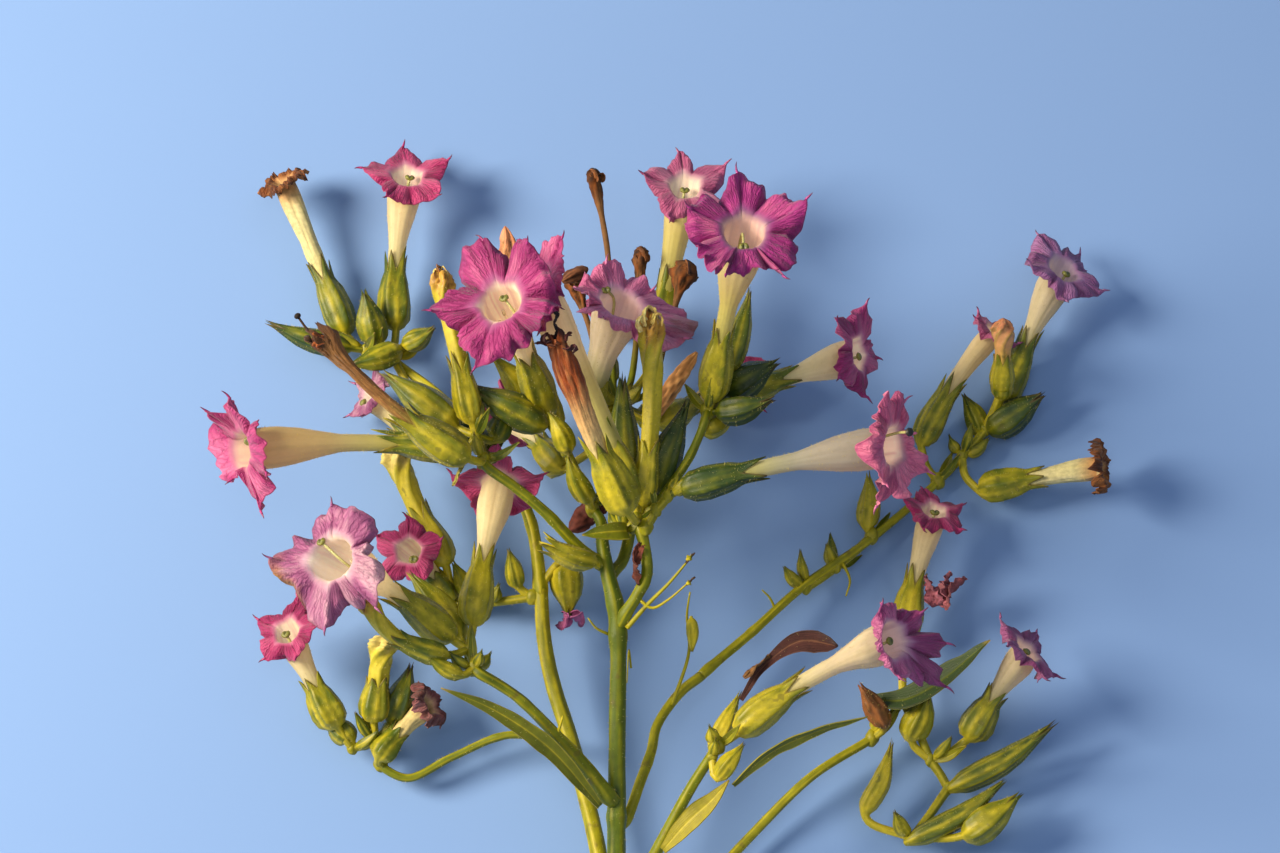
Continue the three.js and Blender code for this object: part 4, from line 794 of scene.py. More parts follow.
    # fine radial crimping
    crimp = noise(np.stack([TH * 26, S * 2.2, np.full_like(S, idx)], -1), 1.0, idx + 31)
    crimp2 = noise(np.stack([TH * 58, S * 5.0, np.full_like(S, idx)], -1), 1.0, idx + 37)
    lift += (0.125 * crimp + 0.06 * crimp2) * np.sin(np.pi * np.clip(S * 0.9 + 0.08, 0, 1)) ** 0.5 * k * (1.6 if wilt or b["look"] in ("pale",) else 1.0)
    turn_n = 0.05 * noise(np.stack([np.cos(TH) * 2, np.sin(TH) * 2, S * 2 + idx], -1), 0.8, idx + 70) * S
    if b["look"] == "pale":
        lift += 0.5 * k * wave_n(TH, S, idx) * step(0.45, 1.0, S)
    if wilt:
        # crumpled: lobes drawn in, rolled and kinked
        rho = rt * (1 - 0.05 * S) + (RB - rt) * (1.0 * S - 0.22 * S ** 2) * (1 + 0.35 * noise(two, 0.5, idx + 3))
        lift = 3.0 * k * np.sin(S * 2.6) + 3.4 * k * noise(two * [2, 2, 4], 0.8, idx + 5) * S - 2.2 * k * S ** 2 + 0.9 * crimp * S
        turn_n = turn_n * 4
    wave = noise(np.stack([np.cos(TH) * 9, np.sin(TH) * 9, np.zeros_like(S)], -1), 1.0, idx + 5)
    wave2 = noise(np.stack([np.cos(TH) * 24, np.sin(TH) * 24, np.zeros_like(S)], -1), 1.0, idx + 6)
    rho = rho + (0.40 * wave + 0.20 * wave2) * k * step(0.7, 1, S) * step(0.03, 0.2, A)
    ang = TH + turn_n + np.exp(-A / 0.05) * step(0.85, 1.0, S) * rng.uniform(-0.11, 0.11, nl)[lobe] * (0.3 if "outline" in b else 1.0)
    limb = P2 + right * (np.cos(ang) * rho)[..., None] + upv * (np.sin(ang) * rho)[..., None] + face * lift[..., None]
    P = np.vstack([tube, limb])
    # soften the step from the tube to the limb
    for _ in range(2):
        P[nt - 2:nt + 2] = (P[nt - 3:nt + 1] + 2 * P[nt - 2:nt + 2] + P[nt - 1:nt + 3]) / 4
    Nn = grid_normals(P)
    thick = np.concatenate([np.full(nt, 0.34), np.linspace(0.34, PETAL_T * 0.75, ns)])
    thick = np.broadcast_to(thick[:, None], P.shape[:2]).copy()
    # tones
    gg = np.broadcast_to(g[:, None], (nt, C))
    vary = noise(P * [1, 1, 1], 3.5, idx + 13)
    v_t, v_l = vary[:nt], vary[nt:]
    tube_green = mixc(look["tube"], lin(188, 182, 62), step(b.get("green_to", 0.60), b.get("green_to", 0.60) - 0.35, gg) * (0.0 if b["look"] == "umber" else 0.8)) if not wilt else mixc(look["tube"], lin(200, 184, 84), step(0.6, 0.2, gg) * 0.6)
    tube_out = mixc(tube_green, look["ring"], step(0.95, 1.0, gg) * 0.3) * (1 + 0.06 * v_t)[..., None]
    streak = noise(np.stack([np.cos(th)[None, :] * 5 + 0 * gg, np.sin(th)[None, :] * 5 + 0 * gg, gg * 2.5], -1), 1.0, idx + 91)
    tube_out = mixc(tube_out, tube_out * np.array([0.86, 0.88, 0.72]), np.clip(0.3 + 0.8 * streak, 0, 1) * 0.5)
    streak2 = noise(np.stack([np.cos(th)[None, :] * 15 + 0 * gg, np.sin(th)[None, :] * 15 + 0 * gg, gg * 3.5], -1), 1.0, idx + 92)
    tube_out = mixc(tube_out, tube_out * np.array([0.78, 0.78, 0.56]), np.clip(1.1 * streak2 - 0.1, 0, 1) * 0.6)
    tube_in = mixc(lin(255, 250, 226), look["throat"], step(0.45, 0.75, gg))
    tube_in = mixc(tube_in, look["ring"] * 0.9, np.clip(0.9 * streak + 0.5 * streak2, 0, 0.6) * step(0.6, 0.9, gg) * 0.7)
    star = 0.10 * np.exp(-(A / 0.25) ** 2)
    t1 = step(-0.02, 0.12, S - star * 0.5)
    t2 = step(0.06, 0.34, S - star)
    limb_in = mixc(mixc(look["throat"], look["ring"], t1), look["mid"], t2)
    # painted light and shade on the limb's inner face: whole half-lobes and broad patches lighter as if sunlit or
    # darker as if shaded, raised pillows, crimps, creases and folds lighter, notches darker, with some random tone; the
    # thin dark margin and tips are its own colour
    half = rng.uniform(-1.0, 1.1, (nl, 2))[lobe, pick_side] * step(0.0, 0.22, A) * (1 - step(0.82, 1.0, A))
    painted_highlight_patches = noise(np.stack([np.cos(TH) * 3.2, np.sin(TH) * 3.2, S * 2.6 + idx], -1), 1.0, idx + 140)
    painted_light_and_shade = 0.35 * (pil - 0.55) + 0.30 * crimp + 0.26 * crimp2 + 0.25 * v_l - 0.45 * sinus + 0.35 * (crs[lobe] * crease) + 0.3 * tw[lobe] * side * pil + 0.8 * half + 0.75 * painted_highlight_patches + 0.3 * fold
    limb_in = mixc(limb_in, look["light"], np.clip(0.62 * painted_light_and_shade, 0, 0.75) * t2)
    limb_in = mixc(limb_in, look["edge_and_shade"], np.clip(np.clip(-0.75 * painted_light_and_shade, 0, 0.75) * t2 + 0.55 * step(0.93, 1.0, S) * step(0.0, 0.2, A) + 0.9 * np.exp(-A / 0.035) * step(0.86, 0.97, S), 0, 0.9))
    limb_out = mixc(mixc(look["tube"], look["ring"], step(0.0, 0.25, S)), mixc(look["mid"], look["light"], 0.45), step(0.12, 0.55, S))
    limb_out = limb_out * (1 + 0.08 * v_l)[..., None]
    if "burn" in b:
        deg, wide, tint, s_from, most = b["burn"]
        off = np.angle(np.exp(1j * (TH - math.radians(deg))))
        patch = np.exp(-(off / wide) ** 2) * step(s_from, s_from + 0.35, S + 0.12 * crimp) * np.clip(0.9 + 0.5 * v_l, 0, 1) * most
        limb_in = mixc(limb_in, lin(*tint), patch)
        limb_out = mixc(limb_out, lin(*tint), patch)
    if b["look"] == "pale":
        rim = step(0.95, 1.0, S) * np.clip(0.4 + noise(np.stack([np.cos(TH) * 6, np.sin(TH) * 6, S * 0], -1), 0.9, 67), 0, 1)
        limb_in = mixc(limb_in, lin(120, 72, 48), rim * 0.6)
    if wilt:
        burn = np.clip(0.5 + 0.9 * noise(two * [2, 2, 3], 0.7, idx + 23), 0, 1) * step(0.2, 0.9, S)
        limb_in = mixc(limb_in, look["edge_and_shade"], burn)
        limb_out = mixc(mixc(limb_out, look["light"], step(0.0, 0.4, S)), look["edge_and_shade"], burn * 0.8)
        tube_out = mixc(tube_out, look["light"], step(0.8, 1.0, gg) * 0.8)
    mark_l = np.stack([A, S, np.clip(t2 * (1 - 0.5 * step(0.9, 1.0, S)), 0, 1)], -1)
    mark_t = np.stack([np.broadcast_to(a, (nt, C)), gg, 0.10 * step(0.6, 0.9, gg)], -1)
    # painted light: the inside of the tube and the throat get a glow weight for an emission, strongest on the wall that
    # faces the key lamp, standing for sunlight shining through the tube
    faces_key_lamp = np.clip(0.62 - 0.38 * np.cos(th - math.atan2(0.2, -0.75)) + 0.25 * noise(np.stack([np.cos(th) * 4, np.sin(th) * 4, 0 * th + idx], -1), 1.0, idx + 160), 0.15, 1.1)
    painted_glow_tube = step(0.35, 0.8, gg) * faces_key_lamp[None, :] * (0.85 + 0.3 * v_t) * (1 - 0.38 * np.clip(streak + 0.8 * streak2, 0, 1))
    painted_glow_limb = 0.8 * (1 - step(0.0, 0.16, S - star * 0.4)) * faces_key_lamp[None, :] * (0.8 + 0.3 * v_l)
    painted_glow = np.vstack([painted_glow_tube, painted_glow_limb]) * b.get("painted_glow", 0.0 if wilt else (1.0 if fine else 0.6))
    pc.sheet(P, Nn, thick, np.vstack([tube_out, limb_out]), np.vstack([tube_in, limb_in]), np.vstack([mark_t, mark_l]), True, 0, painted_glow_in=painted_glow)
    if not wilt:
        for k in range(nl):
            on = np.where(lobe == k)[0]
            jc = on[np.argmin(a[on])]
            if a[jc] > 0.15 or R[jc] < rt + 2.5:
                continue
            o0 = P[-1, jc]
            d0 = unit(P[-1, jc] - P[-5, jc])
            sd = unit(np.cross(d0, face)) * rng.uniform(-0.8, 0.8) + face * rng.uniform(-0.4, 0.8)
            ln = rng.uniform(1.6, 2.3) if fine else rng.uniform(0.8, 1.4)
            sp = Path(spline([o0 - d0 * 0.9, o0 + d0 * 0.1, o0 + d0 * ln * 0.55 + sd * ln * 0.18, o0 + d0 * ln * 0.85 + sd * ln * 0.55], 24), side=face)
            fr = np.linspace(0, 1, 12)
            c3, t3, n3, b3 = sp.frames(fr * sp.length)
            ph = np.linspace(0, 2 * math.pi, 8, endpoint=False)
            rs = np.interp(fr, [0, 0.3, 0.8, 1.0], [0.34, 0.30, 0.15, 0.06])[:, None, None]
            sm = mixc(np.broadcast_to(mixc(look["mid"], look["edge_and_shade"], np.array(0.6)), (12, 8, 3)), look["edge_and_shade"] * 0.4, step(0.2, 0.9, fr)[:, None] + np.zeros((12, 8)))
            pc.grid(c3[:, None] + (n3[:, None] * np.cos(ph)[None, :, None] + b3[:, None] * np.sin(ph)[None, :, None]) * rs, sm, None, True, False, 1, True, True)
    vis = int(nt * 0.35)
    HAIRS.append((tube[vis:] + Nn[vis:nt] * 0.17, Nn[vis:nt], 1.7 if fine else 0.9, 0.8))
    # style and stigma, and the anthers inside the throat
    if not wilt:
        if "stigma" in b:
            fpt = []
            for (x, y), lf in ((b["stigma"], 1.2 if not b.get("dark_stigma") else 7.6), (b["style_to"], -2.0 if not b.get("dark_stigma") else 1.0)):
                f = lambda d: float(np.dot(at(x, y, d) - P2, face)) - lf
                d = 0.0
                for _ in range(4):
                    d = d - f(d) / (f(d + 1) - f(d))
                fpt.append(at(x, y, d))
            tip, mid = fpt
            deep = path.frames(np.array([L - 14.0]))[0][0]
            line = spline([deep, mid, tip], 40)
        else:
            q = P2 + face * 0.6 + right * rng.uniform(-1.5, 1.5) + upv * rng.uniform(-2.4, 0.4)
            deep = path.frames(np.array([L - 12.0]))[0][0]
            line = spline([deep, (deep + q) / 2, q], 30)
            tip = q
        sp = Path(line, side=right)
        rows = np.linspace(0, sp.length, 18)
        cc, tt, nn, bb = sp.frames(rows)
        ph = np.linspace(0, 2 * math.pi, 10, endpoint=False)
        ring = cc[:, None] + (nn[:, None] * np.cos(ph)[None, :, None] + bb[:, None] * np.sin(ph)[None, :, None]) * 0.36
        pc.grid(ring, lin(176, 172, 108), None, True, False, 1, True, True)
        # the stigma: a grooved two-lobed cushion
        u = np.linspace(0.02, math.pi - 0.02, 13)
        ph = np.linspace(0, 2 * math.pi, 18, endpoint=False)
        U, H = np.meshgrid(u, ph, indexing="ij")
        rad = 1.15 * np.sin(U) * (1 + 0.10 * np.cos(2 * H)) * (1 + 0.05 * np.cos(7 * H))
        hh = -0.72 * np.cos(U) - 0.42 * np.exp(-(np.cos(H) * np.sin(U) / 0.28) ** 2) * (U > 1.6)
        tn = tt[-1] * 0.4 + face * 0.6
        tn = unit(tn)
        e1 = unit(right - tn * right.dot(tn))
        e2 = np.cross(tn, e1)
        cap = cc[-1] + e1 * (rad * np.cos(H))[..., None] + e2 * (rad * np.sin(H))[..., None] + tn * hh[..., None]
        dk = b.get("dark_stigma")
        base_c = lin(44, 38, 24) if dk else lin(122, 122, 46)
        tn_c = mixc(base_c, lin(62, 62, 26) if not dk else lin(30, 24, 16), np.exp(-(rad / 0.55) ** 2) * (U > 1.6))
        pc.grid(cap, tn_c, None, True, False, 1, True, True)
        for j in range(5):
            t = math.radians(b["turn"] + 36 + 72 * j)
            ca, ta, na, ba = (q[0] for q in path.frames(np.array([L - 6.5 + rng.uniform(-0.8, 0.8)])))
            cb = path.frames(np.array([L - 12.5]))[0][0]
            d0 = ca + (na * math.cos(t) + ba * math.sin(t)) * rt * 0.50
            d1 = cb + (na * math.cos(t) + ba * math.sin(t)) * 0.9
            fl = Path(spline([d1, d0], 12), side=right)
            cc2, t2v, n2v, b2v = fl.frames(np.linspace(0, fl.length, 6))
            ph2 = np.linspace(0, 2 * math.pi, 6, endpoint=False)
            rg = cc2[:, None] + (n2v[:, None] * np.cos(ph2)[None, :, None] + b2v[:, None] * np.sin(ph2)[None, :, None]) * 0.17
            pc.grid(rg, lin(236, 226, 192), None, True, False, 1, True, True)
            uu = np.linspace(0.05, math.pi - 0.05, 8)
            U2, H2 = np.meshgrid(uu, ph2, indexing="ij")
            an = d0 + n2v[-1] * (0.45 * np.sin(U2) * np.cos(H2))[..., None] + b2v[-1] * (0.6 * np.sin(U2) * np.sin(H2))[..., None] + t2v[-1] * (-1.0 * np.cos(U2))[..., None]
            pc.grid(an, lin(196, 182, 148), None, True, False, 1, True, True)
    return pc.build("corolla_" + name[-2:], [M_PETAL if not wilt else M_OLD, M_STIGMA], "petal" if not wilt else "withered", (name,))


def scrap(pc, pts, half, tint, seed, mat=0):
    """A shrivelled strip: twisted, folded lengthwise and ragged."""
    path = Path(spline(pts, 60))
    nr, C = max(12, int(path.length / 0.35)), 9
    f, u = np.linspace(0, 1, nr), np.linspace(-1, 1, C)
    c, T, N, B = path.frames(f * path.length)
    F, U = np.meshgrid(f, u, indexing="ij")
    n1 = noise(np.stack([F * path.length * 0.7, U * 1.5, F * 0], -1), 1.0, seed)
    n2 = noise(np.stack([F * path.length * 1.8, U * 3, F * 0], -1), 1.0, seed + 1)
    w = half * np.interp(f, [0, 0.15, 0.5, 0.8, 0.95, 1], [0.5, 0.9, 1.0, 0.7, 0.35, 0.12])[:, None] * (1 + 0.35 * n1)
    tw = (2.4 * F + 0.8 * n1)[..., None]
    x, z = (U * w)[..., None], (0.45 * np.abs(U) * w + 0.30 * half * n2)[..., None]
    side, up = B[:, None] * np.cos(tw) + N[:, None] * np.sin(tw), N[:, None] * np.cos(tw) - B[:, None] * np.sin(tw)
    P = c[:, None] + side * x + up * z
    tone = mixc(np.broadcast_to(lin(*tint), P.shape), lin(*[min(255, v * 1.3 + 6) for v in tint]), np.clip(0.3 + 0.8 * n2, 0, 1))
    pc.sheet(P, grid_normals(P, closed=False), 0.26, tone, tone * 0.85, np.stack([np.abs(U), F, 0.6 + 0 * F], -1), False, mat)


def dry_tube(pc, pts, r, tint, seed, mat=0):
    """A withered, wrinkled bud or corolla, closed at both ends."""
    path = Path(spline([at(*p) for p in pts], 80))
    nr, C = 46, 22
    f = np.linspace(0, 1, nr)
    c, T, N, B = path.frames(f * path.length)
    th = np.linspace(0, 2 * math.pi, C, endpoint=False)
    F, TT = np.meshgrid(f, th, indexing="ij")
    z = F * path.length
    n1 = noise(np.stack([np.cos(TT) * 2.5, np.sin(TT) * 2.5, z * 0.22], -1), 1.0, seed)
    n2 = noise(np.stack([np.cos(TT) * 6, np.sin(TT) * 6, z * 0.5], -1), 1.0, seed + 1)
    n3 = noise(np.stack([np.cos(TT) * 11, np.sin(TT) * 11, z * 1.4], -1), 1.0, seed + 2)
    rr = r * np.interp(f, [0, 0.1, 0.35, 0.7, 0.9, 1.0], [0.3, 0.6, 1.0, 0.9, 0.62, 0.2])[:, None] * (1 + 0.30 * n1 + 0.20 * n2 + 0.08 * n3)
    bend = 0.5 * r * noise(np.stack([f * path.length * 0.25, f * 0, f * 0], -1), 1.0, seed + 3)
    P = c[:, None] + (N * bend[:, None])[:, None] + N[:, None] * (np.cos(TT) * rr * 0.72)[..., None] + B[:, None] * (np.sin(TT) * rr)[..., None]
    base = np.broadcast_to(lin(*tint), P.shape)
    # painted shade and highlight: darker in the wrinkle hollows, lighter on the wrinkle ridges
    tone = mixc(base, base * 0.35, np.clip(-0.9 * n2 + 0.2 - 0.4 * n1, 0, 0.85))
    tone = mixc(tone, lin(*[min(255, v * 1.25 + 18) for v in tint]), np.clip(0.9 * n2, 0, 0.7))
    pc.grid(P, tone, None, True, False, mat, True, True)


def dry_corolla(name, b, idx):
    """A dead corolla: a wrinkled, partly collapsed tube with a ragged, dark, twisted mouth."""
    rng = np.random.default_rng(500 + idx)
    pc = Piece()
    P0, P1, P2 = at(*b["base"]), at(*b["bend"]), at(*b["throat"])
    path = Path(bezier(P0, P1, P2), side=(0.1, 0.2, 0.95))
    L = path.length
    rust = b["look"] == "rust"
    nr, C = 90, 56
    th = np.linspace(0, 2 * math.pi, C, endpoint=False)
    # ragged lobes: each column ends at its own length
    rag = 0.5 + 0.5 * np.cos(5 * th + 0.6) + 0.45 * noise(np.stack([np.cos(th) * 4, np.sin(th) * 4, 0 * th], -1), 1.0, idx)
    extra = (1.6 + 2.6 * np.clip(rag, 0, 1.3)) if rust else (1.6 + 4.2 * np.clip(rag, 0, 1.3))
    f = np.linspace(0, 1, nr)
    s0 = 6.0
    S = s0 + f[:, None] * (L - 2.5 - s0 + extra[None, :])
    g = S / L
    c, T, N, B = path.frames(S)
    if rust:
        r = np.interp(g, [0, 0.42, 0.55, 0.66, 0.76, 0.86, 0.95, 1.1], [1.8, 2.0, 1.85, 1.95, 2.45, 2.5, 1.8, 2.0])
    else:
        r = np.interp(g, [0, 0.3, 0.6, 0.78, 0.88, 0.97, 1.1], [1.8, 1.45, 1.05, 1.05, 1.7, 2.7, 2.3])
    TT = np.broadcast_to(th, S.shape)
    flat = 1 + 0.20 * np.cos(2 * TT + S * 0.12)
    wr = noise(np.stack([np.cos(TT) * 5, np.sin(TT) * 5, S * 0.16], -1), 1.0, idx + 2)
    wr2 = noise(np.stack([np.cos(TT) * 11, np.sin(TT) * 11, S * 0.5], -1), 1.0, idx + 3)
    ramp = step(0.35, 0.8, g)
    r = r * flat * (1 + 0.13 * wr * (0.4 + ramp) + 0.09 * wr2 * (0.3 + ramp))
    # the mouth is twisted and kinked
    over = step(0.86, 1.12, g)
    r = r * (1 + 0.5 * over * noise(np.stack([np.cos(TT) * 3, np.sin(TT) * 3, S * 0.5], -1), 1.0, idx + 7))
    kink = over * 2.2
    off = N * (kink * noise(np.stack([S * 0.3, TT * 0 + 1, TT * 0], -1), 1.0, idx + 8))[..., None] + B * (kink * noise(np.stack([S * 0.3, TT * 0 + 9, TT * 0], -1), 1.0, idx + 9))[..., None]
    tw = TT + over * 1.0
    P = c + off + N * (np.cos(tw) * r)[..., None] + B * (np.sin(tw) * r)[..., None]
    Nn = grid_normals(P)
    if rust:
        body = mixc(lin(204, 184, 124), lin(208, 166, 108), step(0.36, 0.55, g + 0.03 * wr))
        body = mixc(body, lin(172, 84, 32), step(0.58, 0.76, g + 0.03 * wr))
        body = mixc(body, lin(112, 54, 30), np.clip(0.45 + 0.7 * wr2, 0, 1) * step(0.5, 0.75, g))
        body = mixc(body, lin(222, 160, 98), np.clip(0.9 * wr - 0.1, 0, 0.8) * step(0.5, 0.7, g))
        body = mixc(body, lin(150, 74, 32), step(0.80, 0.9, g + 0.05 * wr) * 0.5)
        body = mixc(body, lin(62, 28, 26), step(0.97, 1.06, g + 0.06 * wr))
    else:
        body = mixc(lin(166, 150, 70), lin(158, 112, 60), step(0.3, 0.6, g))
        body = mixc(body, lin(112, 72, 38), np.clip(0.35 + 0.8 * wr2, 0, 1) * 0.8)
        body = mixc(body, lin(62, 36, 22), step(0.88, 1.0, g + 0.06 * wr) * 0.85)
        body = mixc(body, lin(178, 120, 66), np.clip(0.9 * wr - 0.2, 0, 0.7))
    mark = np.stack([np.abs(((TT * 5 / (2 * math.pi)) % 1) - 0.5) * 2, g, 0.6 * ramp], -1)
    pc.sheet(P, Nn, 0.34, body, body * 0.7, mark, True, 0)
    # shrivelled scraps of the limb hang at the mouth
    dark = (84, 38, 34) if rust else (96, 56, 34)
    ce, te, ne, be = (q[0] for q in path.frames(np.array([L - 1.0])))
    for q in range(7):
        t = 2 * math.pi * q / 7 + rng.uniform(-0.3, 0.3)
        o = ne * math.cos(t) + be * math.sin(t)
        w0 = ce + o * 1.7 - te * 0.5
        ln = rng.uniform(1.6, 3.4) if rust else rng.uniform(2.6, 5.2)
        pts = [w0, w0 + te * ln * 0.5 + o * rng.uniform(0.3, 1.6), w0 + te * ln * rng.uniform(0.3, 0.9) + o * rng.uniform(0.2, 2.8) + np.array([rng.uniform(-1, 1), rng.uniform(-0.5, 1), rng.uniform(-1, 1)])]
        scrap(pc, pts, rng.uniform(0.7, 1.3) * (0.75 if rust else 1), dark if q % 3 else (156, 84, 40), 540 + idx * 9 + q)
    HAIRS.append((P[10:60] + Nn[10:60] * 0.18, Nn[10:60], 0.9, 0.7))
    if rust:
        scrap(pc, [at(556, 340, 23), at(559, 331, 24), at(555, 323, 24), at(558, 315, 25), at(554, 312, 26)], 0.85, (34, 24, 30), 7411)
        scrap(pc, [at(562, 346, 24), at(570, 350, 25), at(576, 347, 25), at(573, 353, 26)], 0.8, (70, 30, 32), 7412)
        scrap(pc, [at(550, 344, 24), at(544, 338, 25), at(548, 333, 25)], 1.1, (74, 34, 34), 7413)
    if not rust:
        # its long style still stands out of the mouth, with a dark stigma
        tip = at(297.5, 316, 16.5)
        ln = Path(spline([path.frames(np.array([L - 6.0]))[0][0], at(308, 330, 16), tip], 30), side=(0.1, 0.2, 0.95))
        cc, tt, nn, bb = ln.frames(np.linspace(0, ln.length, 16))
        ph = np.linspace(0, 2 * math.pi, 8, endpoint=False)
        pc.grid(cc[:, None] + (nn[:, None] * np.cos(ph)[None, :, None] + bb[:, None] * np.sin(ph)[None, :, None]) * 0.3, lin(70, 48, 28), None, True, False, 0, True, True)
        u = np.linspace(0.05, math.pi - 0.05, 10)
        U, H = np.meshgrid(u, np.linspace(0, 2 * math.pi, 14, endpoint=False), indexing="ij")
        pc.grid(tip + nn[-1] * (0.85 * np.sin(U) * np.cos(H))[..., None] + bb[-1] * (0.85 * np.sin(U) * np.sin(H))[..., None] - tt[-1] * (0.7 * np.cos(U))[..., None], lin(38, 28, 20), None, True, False, 0, True, True)
    return pc.build("corolla_" + name[-2:], [M_OLD], "withered", (name,))


def calyx(pc, path, lead, body, rmax, gr, seed, teeth=TEETH, mouth=2.45, closed=False, stalk_r=1.0, husk=False, spread=0.16):
    """A ribbed calyx on its stalk: lead is the stalk's length on the path, body the closed part."""
    rng = np.random.default_rng(seed)
    C = 40 if rmax > 2.1 else 30
    th = np.linspace(0, 2 * math.pi, C, endpoint=False) + rng.uniform(0, 1)
    lobe = (th * 5 / (2 * math.pi)) % 1.0
    a = np.abs(lobe - 0.5) * 2                       # 0 at a tooth's middle, 1 in the gap
    k5 = (np.floor(th * 5 / (2 * math.pi)) % 5).astype(int)
    tl = (teeth * rng.uniform(0.72, 1.12, 5))[k5]
    tooth = (1 - a) ** 1.15
    n_out = 28 if rmax > 2.1 else 17
    n_st = max(3, int(lead / 1.3) + 2)
    if lead > 0.2:
        s_st = np.linspace(0, lead, n_st)[:-1]
    else:
        s_st = np.zeros(0)
    f = np.linspace(0, 1, n_out)
    length = body + tl * tooth
    d_body = f[:, None] * length[None, :]
    S = np.vstack([np.broadcast_to(s_st[:, None], (len(s_st), C)), lead + d_body])
    rel = (S - lead) / body
    if closed:
        prof = np.interp(rel, [0, 0.04, 0.16, 0.36, 0.55, 0.75, 0.92, 1.15, 1.5], [stalk_r / rmax, 0.52, 0.88, 1.0, 0.97, 0.80, 0.52, 0.20, 0.05]) * rmax
    else:
        prof = np.interp(rel, [0, 0.04, 0.18, 0.42, 0.62, 0.82, 1.0], [stalk_r / rmax, 0.58, 0.90, 1.0, 0.93, 0.82, mouth / rmax]) * rmax
        prof = np.where(rel > 1, mouth + (rel - 1) * body * spread * (0.25 + 0.25 * np.sin(k5 * 2.1 + seed))[None, :], prof)
    inb = step(0.02, 0.22, rel)
    ribs = 0.066 * np.cos(2 * math.pi * lobe - math.pi) + 0.040 * np.cos(4 * math.pi * lobe)
    A = np.broadcast_to(a, S.shape)
    keel = 0.095 * np.exp(-(A / 0.09) ** 2)
    groove = -0.12 * np.exp(-((1 - A) / 0.10) ** 2) * step(0.45, 1.0, rel)
    TT = np.broadcast_to(th, S.shape)
    nz = noise(np.stack([np.cos(TT) * 2.2, np.sin(TT) * 2.2, S * 0.35], -1), 1.0, seed)
    nz2 = noise(np.stack([np.cos(TT) * 6, np.sin(TT) * 6, S * 1.1], -1), 1.0, seed + 1)
    rad = prof * (1 + inb * (ribs[None, :] + keel + groove) + 0.035 * nz + 0.012 * nz2)
    if husk:
        rad = rad * (1 + 0.22 * nz * inb + 0.08 * nz2)
    c, T, N, B = path.frames(S)
    P = c + N * (np.cos(TT) * rad)[..., None] + B * (np.sin(TT) * rad)[..., None]
    # teeth bend a little outwards or aside at their ends
    end = step(0.95, 1.35, rel)
    side = rng.uniform(-0.5, 0.5, 5)[k5]
    P = P + (N * (-np.sin(TT))[..., None] + B * np.cos(TT)[..., None]) * (end * side[None, :] * (0.6 if closed else 1.0))[..., None]
    Nn = grid_normals(P)
    base = green(gr)
    pale = green(max(gr - 0.42, 0))
    deep = green(min(gr + 0.35, 1))
    # painted highlight and shade on the ribs: the keel line lighter, the flanks beside it and the rib valleys darker,
    # bulges lighter and dents darker; the pale gaps, the pale base and the dark tooth tips are its own colour
    tone = mixc(base, pale, np.clip(0.70 * step(0.55, 1.0, A) * (1 - step(0.6, 1.1, rel)) + 0.45 * (1 - step(0.0, 0.3, rel)) + 0.42 * np.exp(-(A / 0.05) ** 2) * inb, 0, 1))
    tone = mixc(tone, deep, np.clip(0.50 * np.exp(-((A - 0.17) / 0.14) ** 2) * inb + 0.22 * np.exp(-((A - 0.5) / 0.10) ** 2) * inb + 0.5 * step(0.75, 1.3, rel) + 0.55 * np.clip(-nz - 0.5 * nz2 + 0.1, 0, 1), 0, 0.9))
    tone = mixc(tone, pale, np.clip(0.40 * nz + 0.25 * nz2, 0, 0.5))
    tone = mixc(tone, lin(92, 66, 34), 0.6 * step(1.0, 1.02, (S - lead) / np.maximum(length[None, :], 1e-6) + 0.06) * (rng.random(5) > 0.4)[k5][None, :])
    if husk:
        tone = mixc(tone, mixc(lin(150, 88, 44), lin(84, 46, 28), np.clip(0.5 + nz + 0.5 * nz2, 0, 1)), 0.92 * step(-0.1, 0.1, rel))
    mark = np.stack([A, np.clip(rel, 0, 1.5), np.zeros_like(S)], -1)
    if closed:
        pc.grid(P, tone, mark, True, False, 0, True, True)
    else:
        keep = 9
        a_idx = pc.grid(P, tone, mark, True, False, 0, True, False)
        # the inner side, from the rim back down to the tube
        inner = []
        tn = []
        for j in range(keep):
            fj = 1 - (j / (keep - 1)) * 0.42
            Sj = lead + fj * length
            relj = (Sj - lead) / body
            pj = np.interp(relj, [0, 0.04, 0.18, 0.42, 0.62, 0.82, 1.0], [stalk_r / rmax, 0.58, 0.90, 1.0, 0.93, 0.82, mouth / rmax]) * rmax
            pj = np.where(relj > 1, mouth + (relj - 1) * body * spread * (0.25 + 0.25 * np.sin(k5 * 2.1 + seed)), pj)
            shrink = CALYX_T * min(1.0, 0.35 + j / 3.0)
            cj, Tj, Nj, Bj = path.frames(Sj)
            rj = np.maximum(pj * (1 + ribs + keel[0]) - shrink, 0.5)
            if j == keep - 1:
                rj = rj * 0 + 1.0
            e = step(0.95, 1.35, relj) * side
            inner.append(cj + Nj * (np.cos(th) * rj)[:, None] + Bj * (np.sin(th) * rj)[:, None] + (Nj * (-np.sin(th))[:, None] + Bj * np.cos(th)[:, None]) * e[:, None])
            tn.append(np.broadcast_to(mixc(pale, base, np.array(0.5)), (C, 3)))
        b_idx = pc.grid(np.array(inner), np.array(tn), None, True, False, 0, False, False)
        u, v = a_idx[-1], b_idx[0]
        pc.quads(np.stack([u, np.roll(u, -1), np.roll(v, -1), v], -1))
    HAIRS.append((P[1:-1], Nn[1:-1], 0.95, 0.85))
    return a


def nearest(joints, base):
    e = at(*base)
    return min((at(*j) for j in joints), key=lambda q: np.linalg.norm(q - e))


